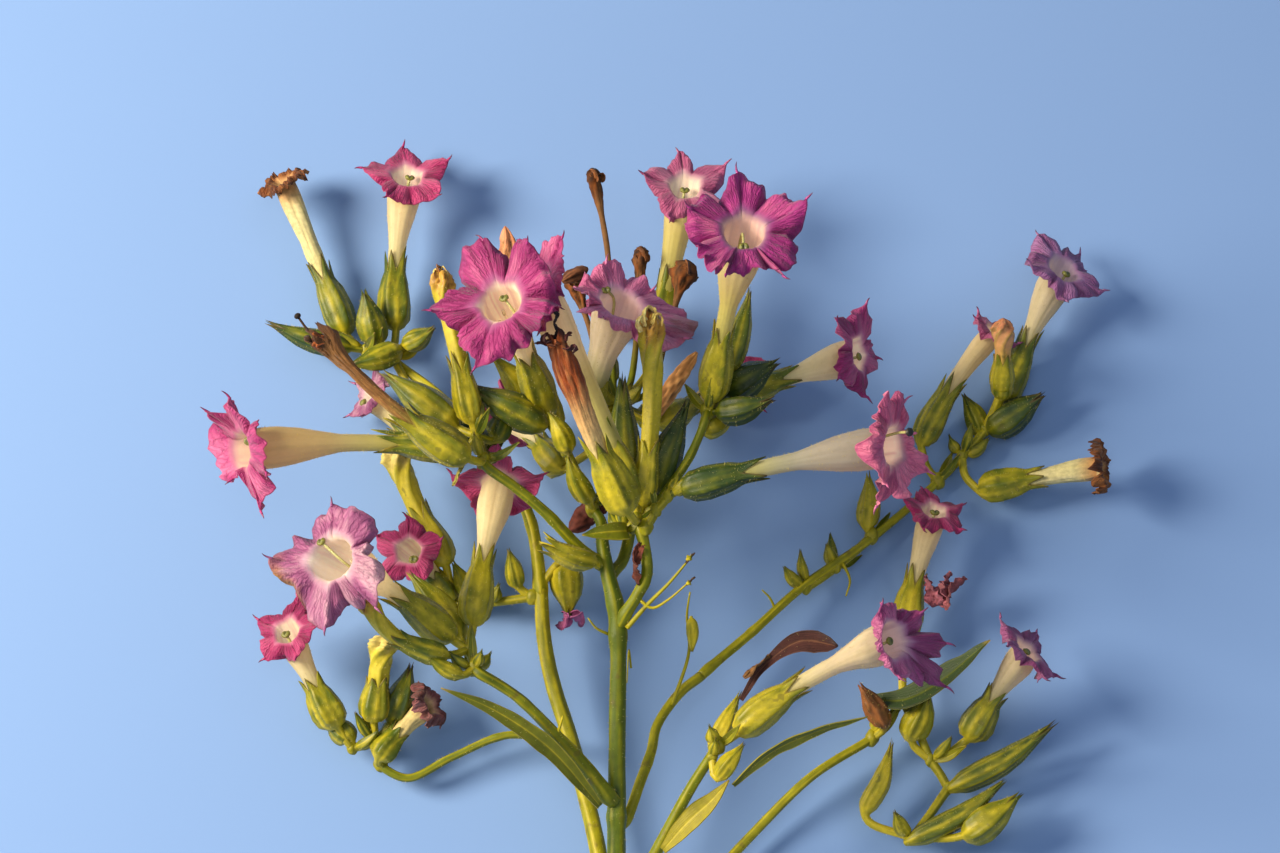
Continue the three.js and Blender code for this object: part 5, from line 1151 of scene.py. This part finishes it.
def twist_bud(pc, pts, r, gr, seed, joint, peach=False, plain=False):
    """A long flower bud: calyx below, and the closed, twisted corolla above it."""
    rng = np.random.default_rng(seed)
    P = [at(*p) for p in pts]
    if np.linalg.norm(joint - P[0]) > 1.2:
        line = spline([joint] + P)
        lead = np.linalg.norm(joint - P[0])
    else:
        line = spline(P)
        lead = 0.0
    path = Path(line)
    L = path.length - lead
    calyx(pc, path, lead, min(CALYX_LEN * 0.82, L * 0.42), r * 1.22, gr, seed, teeth=min(5.0, L * 0.15), mouth=r * 0.86)
    nr, C = 64, 36
    th = np.linspace(0, 2 * math.pi, C, endpoint=False)
    f = np.linspace(0, 1, nr)
    S = lead + L * (0.14 + 0.86 * f)
    g = (S - lead) / L
    rad = np.interp(g, [0.1, 0.35, 0.6, 0.78, 0.88, 0.94, 0.985, 1.0], [0.7, 0.74, 0.80, 0.88, 1.0, 1.02, 0.70, 0.22] if not peach else [0.66, 0.7, 0.8, 1.05, 1.0, 0.70, 0.28, 0.05]) * r
    c, T, N, B = path.frames(S)
    TT = th[None, :] + 1.6 * step(0.6, 1.0, g)[:, None]
    GG = np.broadcast_to(g[:, None], TT.shape)
    nz = noise(np.stack([np.cos(TT) * 3, np.sin(TT) * 3, GG * 7], -1), 1.0, seed + 4)
    nz2 = noise(np.stack([np.cos(TT) * 7, np.sin(TT) * 7, GG * 26], -1), 1.0, seed + 6)
    rr = rad[:, None] * (1 + 0.075 * np.cos(5 * th)[None, :] * step(0.2, 0.5, g)[:, None] + 0.03 * np.cos(10 * th)[None, :] + 0.14 * np.cos(5 * th)[None, :] * step(0.72, 0.9, g)[:, None] + 0.05 * nz + 0.30 * nz2 * step(0.82, 0.90, g)[:, None])
    Q = c[:, None] + N[:, None] * (np.cos(TT) * rr)[..., None] + B[:, None] * (np.sin(TT) * rr)[..., None]
    pale = mixc(green(0.1), lin(214, 196, 58), np.array(0.7)) if not peach else lin(222, 160, 104)
    tone = mixc(np.broadcast_to(green(gr * 0.8), Q.shape), pale, step(0.2, 0.75, GG + 0.05 * nz))
    tip = step(0.79, 0.90, GG + 0.05 * nz + 0.025 * np.cos(5 * th + seed)[None, :])
    tone = mixc(tone, lin(222, 200, 112) if plain else (lin(204, 150, 58) if not peach else lin(214, 138, 92)), tip * 0.9)
    # dark brown mostly in the crinkle dents of the top: its own browning and painted shade
    tone = mixc(tone, lin(96, 58, 22), np.clip(tip * np.clip(0.1 + 0.5 * nz - 1.3 * nz2, 0, 1), 0, 1) * (0.25 if plain else 0.85))
    tone = mixc(tone, green(0.45), 0.55 * np.clip(np.cos(5 * th)[None, :], 0, 1) * step(0.4, 0.8, GG) * (1 - tip))
    Nn = grid_normals(Q)
    pc.grid(Q, tone, None, True, False, 0, True, True)
    for q in range(0 if peach or plain else 7):
        o = unit(N[-1] * math.cos(q * 1.7 + seed) + B[-1] * math.sin(q * 1.7 + seed))
        w0 = c[-1] - T[-1] * rng.uniform(0.9, 2.4) + o * r * rng.uniform(0.35, 0.7)
        scrap(pc, [w0 - T[-1] * 1.0, w0 + T[-1] * 0.7 + o * 0.3, w0 + T[-1] * rng.uniform(1.4, 2.8) + o * rng.uniform(-1.4, 0.6), w0 + T[-1] * rng.uniform(0.6, 1.6) - o * rng.uniform(0.6, 1.6)], rng.uniform(0.3, 0.5), (224, 186, 106) if q % 2 else (132, 86, 36), seed + 60 + q, 1)
    HAIRS.append((Q[8:-4], Nn[8:-4], 1.6, 0.95))


def dead_stalk(pc, pts, r, seed, joint):
    """A dead flower on its stalk: thin brown stalk, crumpled head."""
    P = [joint] + [at(*p) for p in pts]
    path = Path(spline(P))
    nr, C = 80, 26
    S = np.linspace(0, path.length, nr)
    g = S / path.length
    h = 1 - min(0.45, 9.5 / path.length)
    rad = np.interp(g, [0, 0.1, h - 0.05, h, h + (1 - h) * 0.3, h + (1 - h) * 0.65, h + (1 - h) * 0.88, 1.0], [1.0, 0.85, 0.7, 0.95, r * 0.62, r * 1.0, r * 0.8, 0.3])
    th = np.linspace(0, 2 * math.pi, C, endpoint=False)
    c, T, N, B = path.frames(S)
    TT = np.broadcast_to(th[None, :], (nr, C))
    GG = np.broadcast_to(g[:, None], TT.shape)
    nz = noise(np.stack([np.cos(TT) * 3, np.sin(TT) * 3, GG * 16], -1), 1.0, seed)
    nz2 = noise(np.stack([np.cos(TT) * 7, np.sin(TT) * 7, GG * 40], -1), 1.0, seed + 1)
    on = step(h - 0.04, h + 0.06, GG)
    rr = rad[:, None] * (1 + (0.08 + 0.30 * on) * nz + 0.30 * nz2 * on + 0.12 * on * noise(np.stack([np.cos(TT) * 14, np.sin(TT) * 14, GG * 90], -1), 1.0, seed + 2))
    Q = c[:, None] + N[:, None] * (np.cos(TT) * rr)[..., None] + B[:, None] * (np.sin(TT) * rr)[..., None]
    tone = mixc(np.broadcast_to(green(0.55), Q.shape), lin(120, 84, 46), step(0.25, 0.6, GG))
    tone = mixc(tone, lin(138, 76, 28), on * np.clip(0.6 + nz, 0, 1))
    tone = mixc(tone, lin(58, 34, 18), on * np.clip(0.35 + nz2 + 0.5 * step(0.9, 1.0, GG), 0, 1))
    pc.grid(Q, tone, None, True, False, 1, True, True)
    rng = np.random.default_rng(seed)
    for q in range(3):
        o = N[-1] * math.cos(q * 1.6) + B[-1] * math.sin(q * 1.6)
        a0 = c[-1] - T[-1] * 2.2 + o * r * 0.6
        scrap(pc, [a0 - T[-1] * 1.5, a0 + o * 0.9, a0 + T[-1] * rng.uniform(1.2, 2.0) - o * rng.uniform(0.2, 1.0)], rng.uniform(1.2, 1.9), (120, 72, 34), seed + 50 + q, 1)


def blade(pc, pts, half, face, gr, seed, mat=0):
    """A narrow leaf: keeled along its midrib, wavy at the margin, pale-edged."""
    path = Path(spline(pts), side=face)
    L = path.length
    nr, C = max(20, int(L / 1.0)), 15
    f = np.linspace(0, 1, nr)
    u = np.linspace(-1, 1, C)
    w = half * np.interp(f, [0, 0.08, 0.25, 0.45, 0.65, 0.82, 0.94, 1.0], [0.38, 0.52, 0.86, 1.0, 0.82, 0.5, 0.2, 0.03] if gr >= 0 else [0.22, 0.26, 0.34, 0.5, 0.9, 1.0, 0.6, 0.06])
    c, T, N, B = path.frames(f * L)
    F, U = np.meshgrid(f, u, indexing="ij")
    wav = noise(np.stack([F * L * 0.22, U * 1.2, F * 0], -1), 1.0, seed)
    X = U * w[:, None] * (1 + 0.06 * wav)
    Z = -0.22 * np.abs(U) ** 1.4 * w[:, None] * (-1.0) + 0.28 * wav * np.abs(U) - 0.10 * np.exp(-(U / 0.12) ** 2)
    P = c[:, None] + B[:, None] * X[..., None] + N[:, None] * Z[..., None]
    base, pale, deep = (green(gr), green(max(0, gr - 0.4)), green(min(1, gr + 0.3))) if gr >= 0 else (lin(84, 48, 42), lin(124, 84, 58), lin(48, 26, 28))
    tone = mixc(base, pale, np.clip(np.exp(-(U / 0.10) ** 2) * 0.8 + step(0.88, 1.0, np.abs(U)) * 0.55, 0, 1))
    tone = mixc(tone, deep, np.clip(0.4 * wav, 0, 0.5) + 0.25 * step(0.5, 1.0, F) * (gr > 0.4))
    if gr >= 0:
        tone = mixc(tone, lin(178, 150, 62), step(0.93, 1.0, F) * 0.7)
    mark = np.stack([np.abs(U), F * 3, 0.8 * (1 - np.exp(-(U / 0.1) ** 2))], -1)
    # rows along the blade, columns across it
    Nn = grid_normals(P, closed=False)
    pc.sheet(P, Nn, 0.32, tone, tone * 0.92, mark, False, mat)
    HAIRS.append((P[2:-2, 1:-1] + Nn[2:-2, 1:-1] * 0.16, Nn[2:-2, 1:-1], 0.7, 0.7))


def stem_mesh(pc, points, gr, seed, bulges=(), cut=False, C=22, tip_cap=True):
    pts = [(*at(p[0], p[1], p[2]), p[3]) for p in points]
    line = spline([p[:3] for p in pts])
    path = Path(line, side=(0, 0, 1))
    rs = np.interp(np.linspace(0, 1, 200), np.concatenate([[0], np.cumsum(np.linalg.norm(np.diff(np.array([p[:3] for p in pts]), axis=0), axis=1))]) / np.sum(np.linalg.norm(np.diff(np.array([p[:3] for p in pts]), axis=0), axis=1)), [p[3] for p in pts])
    L = path.length
    nr = max(8, int(L / 0.85))
    S = np.linspace(0, L, nr)
    rad = np.interp(S / L, np.linspace(0, 1, 200), rs)
    for s_at, amp, width in bulges:
        rad = rad * (1 + amp * np.exp(-((S - s_at) / width) ** 2))
    th = np.linspace(0, 2 * math.pi, C, endpoint=False)
    c, T, N, B = path.frames(S)
    SS = np.broadcast_to(S[:, None], (nr, C))
    TT = np.broadcast_to(th[None, :], (nr, C))
    drift = 0.012 * SS
    n1 = noise(np.stack([np.cos(TT) * 1.6, np.sin(TT) * 1.6, SS * 0.10], -1), 1.0, seed)
    n2 = noise(np.stack([np.cos(TT) * 4.5, np.sin(TT) * 4.5, SS * 0.22], -1), 1.0, seed + 1)
    n3 = noise(np.stack([np.cos(TT) * 8, np.sin(TT) * 8, SS * 1.0], -1), 1.0, seed + 2)
    rr = rad[:, None] * (1 + 0.035 * np.cos(5 * TT + drift * 5) + 0.05 * n1 + 0.035 * n2 + 0.018 * n3)
    P = c[:, None] + N[:, None] * (np.cos(TT) * rr)[..., None] + B[:, None] * (np.sin(TT) * rr)[..., None]
    base, pale, deep = green(gr), green(max(0, gr - 0.3)), green(min(1, gr + 0.3))
    # painted highlight and shade: lighter on the ridges and bulges, darker in the dents
    tone = mixc(np.broadcast_to(base, P.shape), pale, np.clip(0.5 * np.cos(5 * TT + drift * 5) + 0.45 * n2, 0, 0.75))
    tone = mixc(tone, deep, np.clip(-0.6 * n1 - 0.45 * n2 + 0.1 * n3, 0, 0.75))
    pc.grid(P, tone, None, True, False, 0, not cut, tip_cap)
    Nn = grid_normals(P)
    HAIRS.append((P[1:-1], Nn[1:-1], 1.0, 0.9))
    if cut:
        # the cut face: skin, a darker ring under it, and pale pith
        rings, tones = [], []
        for fr, cl in ((1.0, lin(120, 130, 56)), (0.93, lin(104, 116, 50)), (0.84, lin(176, 182, 112)), (0.6, lin(206, 206, 152)), (0.3, lin(216, 214, 168))):
            rings.append(c[0] + (P[0] - c[0]) * fr - T[0] * 0.0)
            tones.append(np.broadcast_to(cl, (C, 3)))
        pc.grid(np.array(rings)[::-1], np.array(tones)[::-1], None, True, False, 0, True, False)
    return path


# ---- stems -----------------------------------------------------------------------
STEM_GREEN = {"stem_main": 0.68, "bough_back_left": 0.36, "bough_top_left": 0.36, "bough_low_left": 0.5, "bough_low_right": 0.4, "bough_far_right": 0.38, "bough_back_right": 0.38}
for i, (name, pts) in enumerate(STEMS.items()):
    pc = Piece()
    bulges = []
    if name == "stem_main":
        bulges = [(53.5, 0.16, 1.8), (97, 0.22, 2.6), (105, 0.12, 2.4), (20.0, 0.08, 1.6)]
    elif name == "bough_left":
        bulges = [(3.5, 0.18, 2.2), (34, 0.10, 1.5)]
    elif name == "fork_right":
        bulges = [(3.0, 0.2, 1.8), (12.5, 0.1, 1.2)]
    elif len(pts) > 5:
        bulges = [(2.5, 0.16, 2.0), (18.0, 0.10, 1.4)]
    stem_mesh(pc, pts, STEM_GREEN.get(name, 0.54), 40 + i * 7, bulges, cut=(name == "stem_main"))
    pc.build("v_" + name, [M_STEM], "stem", (name,))

# ---- blooms ----------------------------------------------------------------------
for i, (name, b) in enumerate(BLOOMS.items()):
    if b["kind"] == "dry":
        dry_corolla(name, b, i)
    else:
        corolla(name, b, i)

CALYX_GREEN = {"bloom_01": 0.3, "bloom_02": 0.3, "bloom_03": 0.3, "bloom_04": 0.88, "bloom_05": 0.32, "bloom_06": 0.25, "bloom_07": 0.45, "bloom_08": 0.5,
               "bloom_12": 0.45, "bloom_15": 0.16, "bloom_16": 0.18, "bloom_21": 0.5, "bloom_22": 0.5, "bloom_23": 0.2, "bloom_24": 0.34}

# ---- clusters: calyces, buds and their stalks --------------------------------------
for i, (name, m) in enumerate(MASSES.items()):
    pc = Piece()
    joints = m["joints"]
    for j in range(1, len(joints)):
        a, b = joints[j - 1], joints[j]
        stem_mesh(pc, [(*a, 1.15), ((a[0] + b[0]) / 2 + 1, (a[1] + b[1]) / 2, (a[2] + b[2]) / 2, 1.08), (*b, 1.1)], 0.34, 900 + i * 11 + j, C=14)
    for j, bn in enumerate(m["blooms"]):
        b = BLOOMS[bn]
        P0, P1, P2 = at(*b["base"]), at(*b["bend"]), at(*b["throat"])
        joint = nearest(joints, b["base"])
        tube = bezier(P0, P1, P2)
        cut = int(len(tube) * 0.75)
        lead = np.linalg.norm(joint - P0)
        if lead > 1.0:
            t0 = unit(P1 - P0)
            line = np.vstack([spline([joint, joint * 0.45 + (P0 - t0 * lead * 0.25) * 0.55, P0], 40)[:-1], tube[:cut]])
        else:
            lead = 0.0
            line = tube[:cut]
        path = Path(line)
        lead = path.length - Path(tube[:cut]).length if lead else 0.0
        dry = b["kind"] == "dry"
        L = Path(tube).length
        body = min(b.get("calyx", CALYX_LEN), L * 0.42 if "calyx" not in b else L * 0.6)
        calyx(pc, path, lead, body, CALYX_R * (1.12 if dry else 1) * (0.85 if b["r"] < 9 and not dry else 1), CALYX_GREEN.get(bn, 0.38), 1000 + i * 17 + j,
              teeth=min(TEETH, L * 0.17), mouth=2.4 if not dry else 2.7)
    for j, (kind, pts, r, gr) in enumerate(m["buds"]):
        joint = nearest(joints, pts[0])
        seed = 2000 + i * 31 + j
        if kind in ("calyx", "husk"):
            P = [at(*p) for p in pts]
            lead = np.linalg.norm(joint - P[0])
            path = Path(spline([joint] + P)) if lead > 1.2 else Path(spline(P))
            lead = path.length - Path(spline(P)).length if lead > 1.2 else 0.0
            L = path.length - lead
            teeth = min(L * 0.24, 6.0)
            calyx(pc, path, lead, L - teeth * 0.95, r, gr, seed, teeth=teeth, closed=True, husk=kind == "husk")
        elif kind in ("tube", "peach", "plain"):
            twist_bud(pc, pts, r, gr, seed, joint, kind == "peach", kind == "plain")
        elif kind == "strip":
            dry_tube(pc, pts, r, (206, 144, 84), seed, 1)
            stem_mesh(pc, [(*joints[0], 0.8), ((joints[0][0] + pts[0][0]) / 2, (joints[0][1] + pts[0][1]) / 2 + 4, (joints[0][2] + pts[0][2]) / 2, 0.7), (*pts[0], 0.8)], 0.3, seed + 3, C=12)
        elif kind == "dead":
            dead_stalk(pc, pts, r, seed, joint)
        else:
            blade(pc, [joint] + [at(*p) for p in pts], r, (0.92, 0.25, 0.3), gr, seed)
    # a swollen knot at each joint
    for j, jt in enumerate(joints):
        c0 = at(*jt)
        u = np.linspace(0.04, math.pi - 0.04, 16)
        U, H = np.meshgrid(u, np.linspace(0, 2 * math.pi, 22, endpoint=False), indexing="ij")
        dirs = np.stack([np.sin(U) * np.cos(H), -np.cos(U), np.sin(U) * -np.sin(H)], -1)
        rk = (1.75 if j == 0 else 1.4) * (1 + 0.16 * noise(dirs * 1.6, 1.0, 800 + i * 5 + j))
        tk = mixc(np.broadcast_to(green(0.42), dirs.shape), green(0.08), np.clip(0.5 * noise(dirs * 3, 1.0, 820 + i * 5 + j) + 0.2, 0, 0.6))
        pc.grid(c0 + dirs * rk[..., None] * np.array([1, 1.25, 1]), tk, None, True, False, 0, True, True)
    # a seeded rule adds the youngest buds and bractlets about each hub
    rng = np.random.default_rng(4000 + i)
    hub = at(*joints[0])
    for j in range(5 if len(m["buds"]) > 2 else 3):
        jt = at(*joints[rng.integers(len(joints))])
        out = unit(np.array([rng.uniform(-1, 1), rng.uniform(0.1, 1.1), rng.uniform(-0.6, 0.9)]))
        ln = rng.uniform(4.5, 8.0)
        start = jt + out * 0.4
        p1 = start + out * ln * 0.5
        p2 = start + (out + np.array([0, 0.25, 0.1])) * ln
        if j % 2 == 0:
            path = Path(spline([jt, start, p1, p2]))
            calyx(pc, path, 1.4, path.length - 2.9, rng.uniform(1.2, 1.8), rng.uniform(0.2, 0.6), 5000 + i * 13 + j, teeth=1.8, closed=True, stalk_r=0.6)
        else:
            blade(pc, [jt, p1, p2 + out * 1.5], rng.uniform(0.8, 1.3), unit(np.array([0.1, 0.1, 0.9])), rng.uniform(0.3, 0.7), 6000 + i * 13 + j)
    pc.build("v_" + name, [M_CALYX, M_OLD], "calyx", (name,))

# ---- bract leaves ------------------------------------------------------------------
for i, (name, b) in enumerate(BRACTS.items()):
    pc = Piece()
    blade(pc, [at(*p) for p in b["line"]], b["half"], unit(b["face"]), b["green"], 70 + i)
    pc.build("v_" + name, [M_OLD if b["green"] < 0 else M_BRACT], "bract", (name,))

# ---- dry twigs and stray stalks of the photo that no mass carries -------------------
pc = Piece()
TWIGS = [
    ([(627, 628, 1.6), (648, 604, 3), (670, 582, 5), (687, 562, 6)], 0.62, 0.35), ([(640, 600, 3.2), (652, 608, 3), (668, 600, 4), (687, 584, 5)], 0.45, 0.25),
    ([(631, 668, -3), (629, 650, -5), (627, 683, -7)], 0.3, 0.3), ([(672, 705, -14), (689, 651, -12), (687, 615, -11), (690, 592, -10)], 0.5, 0.3),
    ([(556, 737, 8.5), (560, 726, 9.5), (563, 716, 10)], 0.5, 0.2),
    ([(608, 634, 0), (596, 628, 2), (588, 618, 3)], 0.4, 0.3), ([(776, 612, -31), (770, 598, -30), (762, 590, -29)], 0.4, 0.3),
    ([(842, 562, -38), (850, 580, -36), (846, 596, -34)], 0.45, 0.2),
]
for j, (pts, r, gr) in enumerate(TWIGS):
    n = len(pts)
    stem_mesh(pc, [(*p, r * (1 - 0.55 * k / (n - 1))) for k, p in enumerate(pts)], max(gr, 0.1), 7000 + j, C=10)
for j, (a, b2, r, gr) in enumerate([((691, 616, -10), (692, 652, -10), 1.5, 0.05), ((687, 560, 6.2), (692, 552, 6.8), 0.8, 0.3), ((687, 584, 5), (693, 578, 5.4), 0.7, 0.3)]):
    P = [at(*a), (at(*a) + at(*b2)) / 2 + np.array([0.3, 0, 0.2]), at(*b2)]
    path = Path(spline(P))
    calyx(pc, path, 0.4, path.length - 1.6, r, gr, 7100 + j, teeth=min(1.6, path.length * 0.3), closed=True, stalk_r=0.4)
pc.build("twigs", [M_STEM], "stem")
pc = Piece()
for j, (pts, half, tint) in enumerate([
        ([(642, 544, 5), (636, 556, 6), (634, 570, 6), (638, 585, 5)], 1.5, (98, 48, 34)), 
        ([(686, 563, 6), (691, 558, 6.4), (695, 553, 6.6)], 0.45, (70, 50, 34)), ([(686, 585, 5), (691, 581, 5.2), (695, 577, 5.6)], 0.4, (84, 62, 36)),
        ([(744, 678, 7), (756, 668, 7), (770, 655, 7)], 0.9, (120, 84, 46)), ([(938, 606, -27), (934, 592, -26), (926, 576, -25)], 2.6, (150, 84, 96)), ([(940, 606, -27), (946, 590, -26), (950, 572, -25)], 2.8, (164, 96, 104)),
        ([(942, 606, -27), (952, 594, -25), (966, 578, -25)], 2.4, (140, 76, 80)), ([(566, 616, -30), (562, 622, -29), (556, 626, -29)], 2.4, (176, 92, 140)), ([(570, 616, -30), (576, 621, -29), (584, 624, -29)], 2.4, (184, 100, 146)), ([(466, 452, 6), (459, 470, 7), (452, 486, 6)], 0.9, (150, 140, 60))]):
    scrap(pc, spline([at(*q) for q in pts], 40), half, tint, 7300 + j * 3)
dry_tube(pc, [(604, 496, -14), (594, 508, -12), (582, 520, -10), (570, 530, -9)], 2.9, (96, 46, 36), 7361)
dry_tube(pc, [(562, 282, -36), (572, 276, -36), (588, 268, -37)], 1.7, (104, 62, 36), 7371)
for pts, half, tint, seed in (([(645, 326, 7), (644, 315, 8.5), (649, 307, 8), (654, 311, 7.5)], 0.6, (236, 202, 120), 7421),
                             ([(652, 324, 8), (656, 314, 8.5), (661, 316, 8), (662, 326, 7.5)], 0.55, (222, 182, 96), 7422),
                             ([(641, 332, 7), (638, 323, 7.5), (643, 317, 8), (647, 320, 8)], 0.75, (238, 206, 128), 7423)):
    scrap(pc, [at(*q) for q in pts], half, tint, seed)
pc.build("dry_bits", [M_OLD], "withered")
# an old empty calyx beside the fork
pc = Piece()
path = Path(spline([at(*q) for q in [(600, 566, -1.8), (592, 562, 0), (570, 556, 3), (538, 540, 5)]]))
calyx(pc, path, 2.0, path.length - 6.5, 2.7, 0.25, 7500, teeth=4.2, mouth=1.9, spread=0.25)
pc.build("old_calyx", [M_CALYX], "calyx")

# ---- glandular hairs: joined meshes of plain colour ---------------------------------
pts, nrm, lens = [], [], []
for P, Nn, dens, lf in HAIRS:
    d1 = np.linalg.norm(P[1:, :] - P[:-1, :], axis=-1)[:, :-1]
    d2 = np.linalg.norm(P[:, 1:] - P[:, :-1], axis=-1)[:-1]
    area = (d1 * d2)
    total = area.sum()
    count = int(total * dens)
    if count < 1:
        continue
    pick = RNG.choice(area.size, count, p=(area / total).ravel())
    r, c = np.unravel_index(pick, area.shape)
    fr, fc = RNG.random(count)[:, None], RNG.random(count)[:, None]
    p = (P[r, c] * (1 - fr) + P[r + 1, c] * fr) * (1 - fc) + (P[r, c + 1] * (1 - fr) + P[r + 1, c + 1] * fr) * fc
    pts.append(p)
    nrm.append(Nn[r, c])
    lens.append(HAIR_LEN * lf * RNG.uniform(0.55, 1.35, count))
pts, nrm, lens = np.vstack(pts), np.vstack(nrm), np.concatenate(lens)
order = RNG.permutation(len(pts))
limit = min(len(pts), 19000)
order = order[:limit]
PARTS = 2 if limit < 120000 else 3
for k, sel in enumerate(np.array_split(order, PARTS)):
    p, n, ln = pts[sel], nrm[sel], lens[sel]
    d = n + RNG.normal(0, 0.28, n.shape)
    d /= np.linalg.norm(d, axis=1)[:, None]
    e1 = np.cross(d, np.array([0.31, 0.77, 0.55]))
    e1 /= np.maximum(np.linalg.norm(e1, axis=1), 1e-6)[:, None]
    e2 = np.cross(d, e1)
    base = []
    for q in range(3):
        t = 2 * math.pi * q / 3
        base.append(p - d * 0.05 + (e1 * math.cos(t) + e2 * math.sin(t)) * HAIR_W)
    tip = p + d * ln[:, None]
    V = np.stack(base + [tip], 1).reshape(-1, 3)
    o = np.arange(len(p))[:, None] * 4
    T = np.concatenate([o + [0, 1, 3], o + [1, 2, 3], o + [2, 0, 3]], 0)
    pc = Piece()
    pc._add(V, lin(228, 220, 150), None)
    pc.T.append(T)
    pc.mt.append(np.zeros(len(T), int))
    pc.build("hairs_%d" % (k + 1), [M_HAIR], "calyx", smooth=False)
print("hairs", len(pts), "kept", limit)

# ---- floor, light, camera -------------------------------------------------------------
bpy.ops.mesh.primitive_plane_add(size=6.0, location=(0, 0, min(0.0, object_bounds()[0][2]) - 0.0002))
floor = bpy.context.object
floor.name = "floor"
fm = bpy.data.materials.new("floor")
fm.use_nodes = True
fb = fm.node_tree.nodes["Principled BSDF"]
fb.inputs["Base Color"].default_value = (0.198, 0.338, 0.635, 1)
fb.inputs["Roughness"].default_value = 0.9
floor.data.materials.append(fm)

CAM = np.array([0.0, 0.0, EYE])


def area(name, where, size, power, colour, aim=(0.0, 0.0, 0.0)):
    light = bpy.data.lights.new(name, "AREA")
    light.shape = "DISK"
    light.size = size
    light.energy = power
    light.color = colour
    ob = bpy.data.objects.new(name, light)
    bpy.context.scene.collection.objects.link(ob)
    w = to_world(np.array([where]))[0]
    t = to_world(np.array([aim]))[0]
    from mathutils import Vector
    ob.location = Vector(w)
    ob.rotation_euler = Vector(t - w).to_track_quat("-Z", "Y").to_euler()
    return ob


area("key", (-800, 260, 520), 0.46, 20.0, (1.0, 0.87, 0.68))
area("fill", (500, 500, 900), 0.9, 0.9, (0.84, 0.91, 1.0))
area("front", (-90, 130, 1040), 0.45, 1.3, (1.0, 0.95, 0.88))
area("low", (100, -700, 500), 0.8, 0.9, (0.95, 0.97, 1.0))
world = bpy.data.worlds.new("studio")
world.use_nodes = True
bg = world.node_tree.nodes["Background"]
bg.inputs["Color"].default_value = (0.70, 0.80, 1.0, 1)
bg.inputs["Strength"].default_value = 0.30
bpy.context.scene.world = world
bpy.context.scene.view_settings.view_transform = "Standard"
bpy.context.scene.view_settings.look = "None"

cam = bpy.data.cameras.new("cam")
cam.sensor_fit = "HORIZONTAL"
cam.sensor_width = 36.0
cam.lens = 36.0 * EYE / (1280 * GRID)
cam.clip_start = 0.05
cam.clip_end = 20.0
co = bpy.data.objects.new("cam", cam)
bpy.context.scene.collection.objects.link(co)
co.location = to_world(CAM[None])[0]
co.rotation_euler = (LEAN, 0, 0)
bpy.context.scene.camera = co

tris = sum(len(p.vertices) - 2 for o in bpy.data.objects if o.type == "MESH" and "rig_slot" in o for p in o.data.polygons)
print("visual triangles", tris)
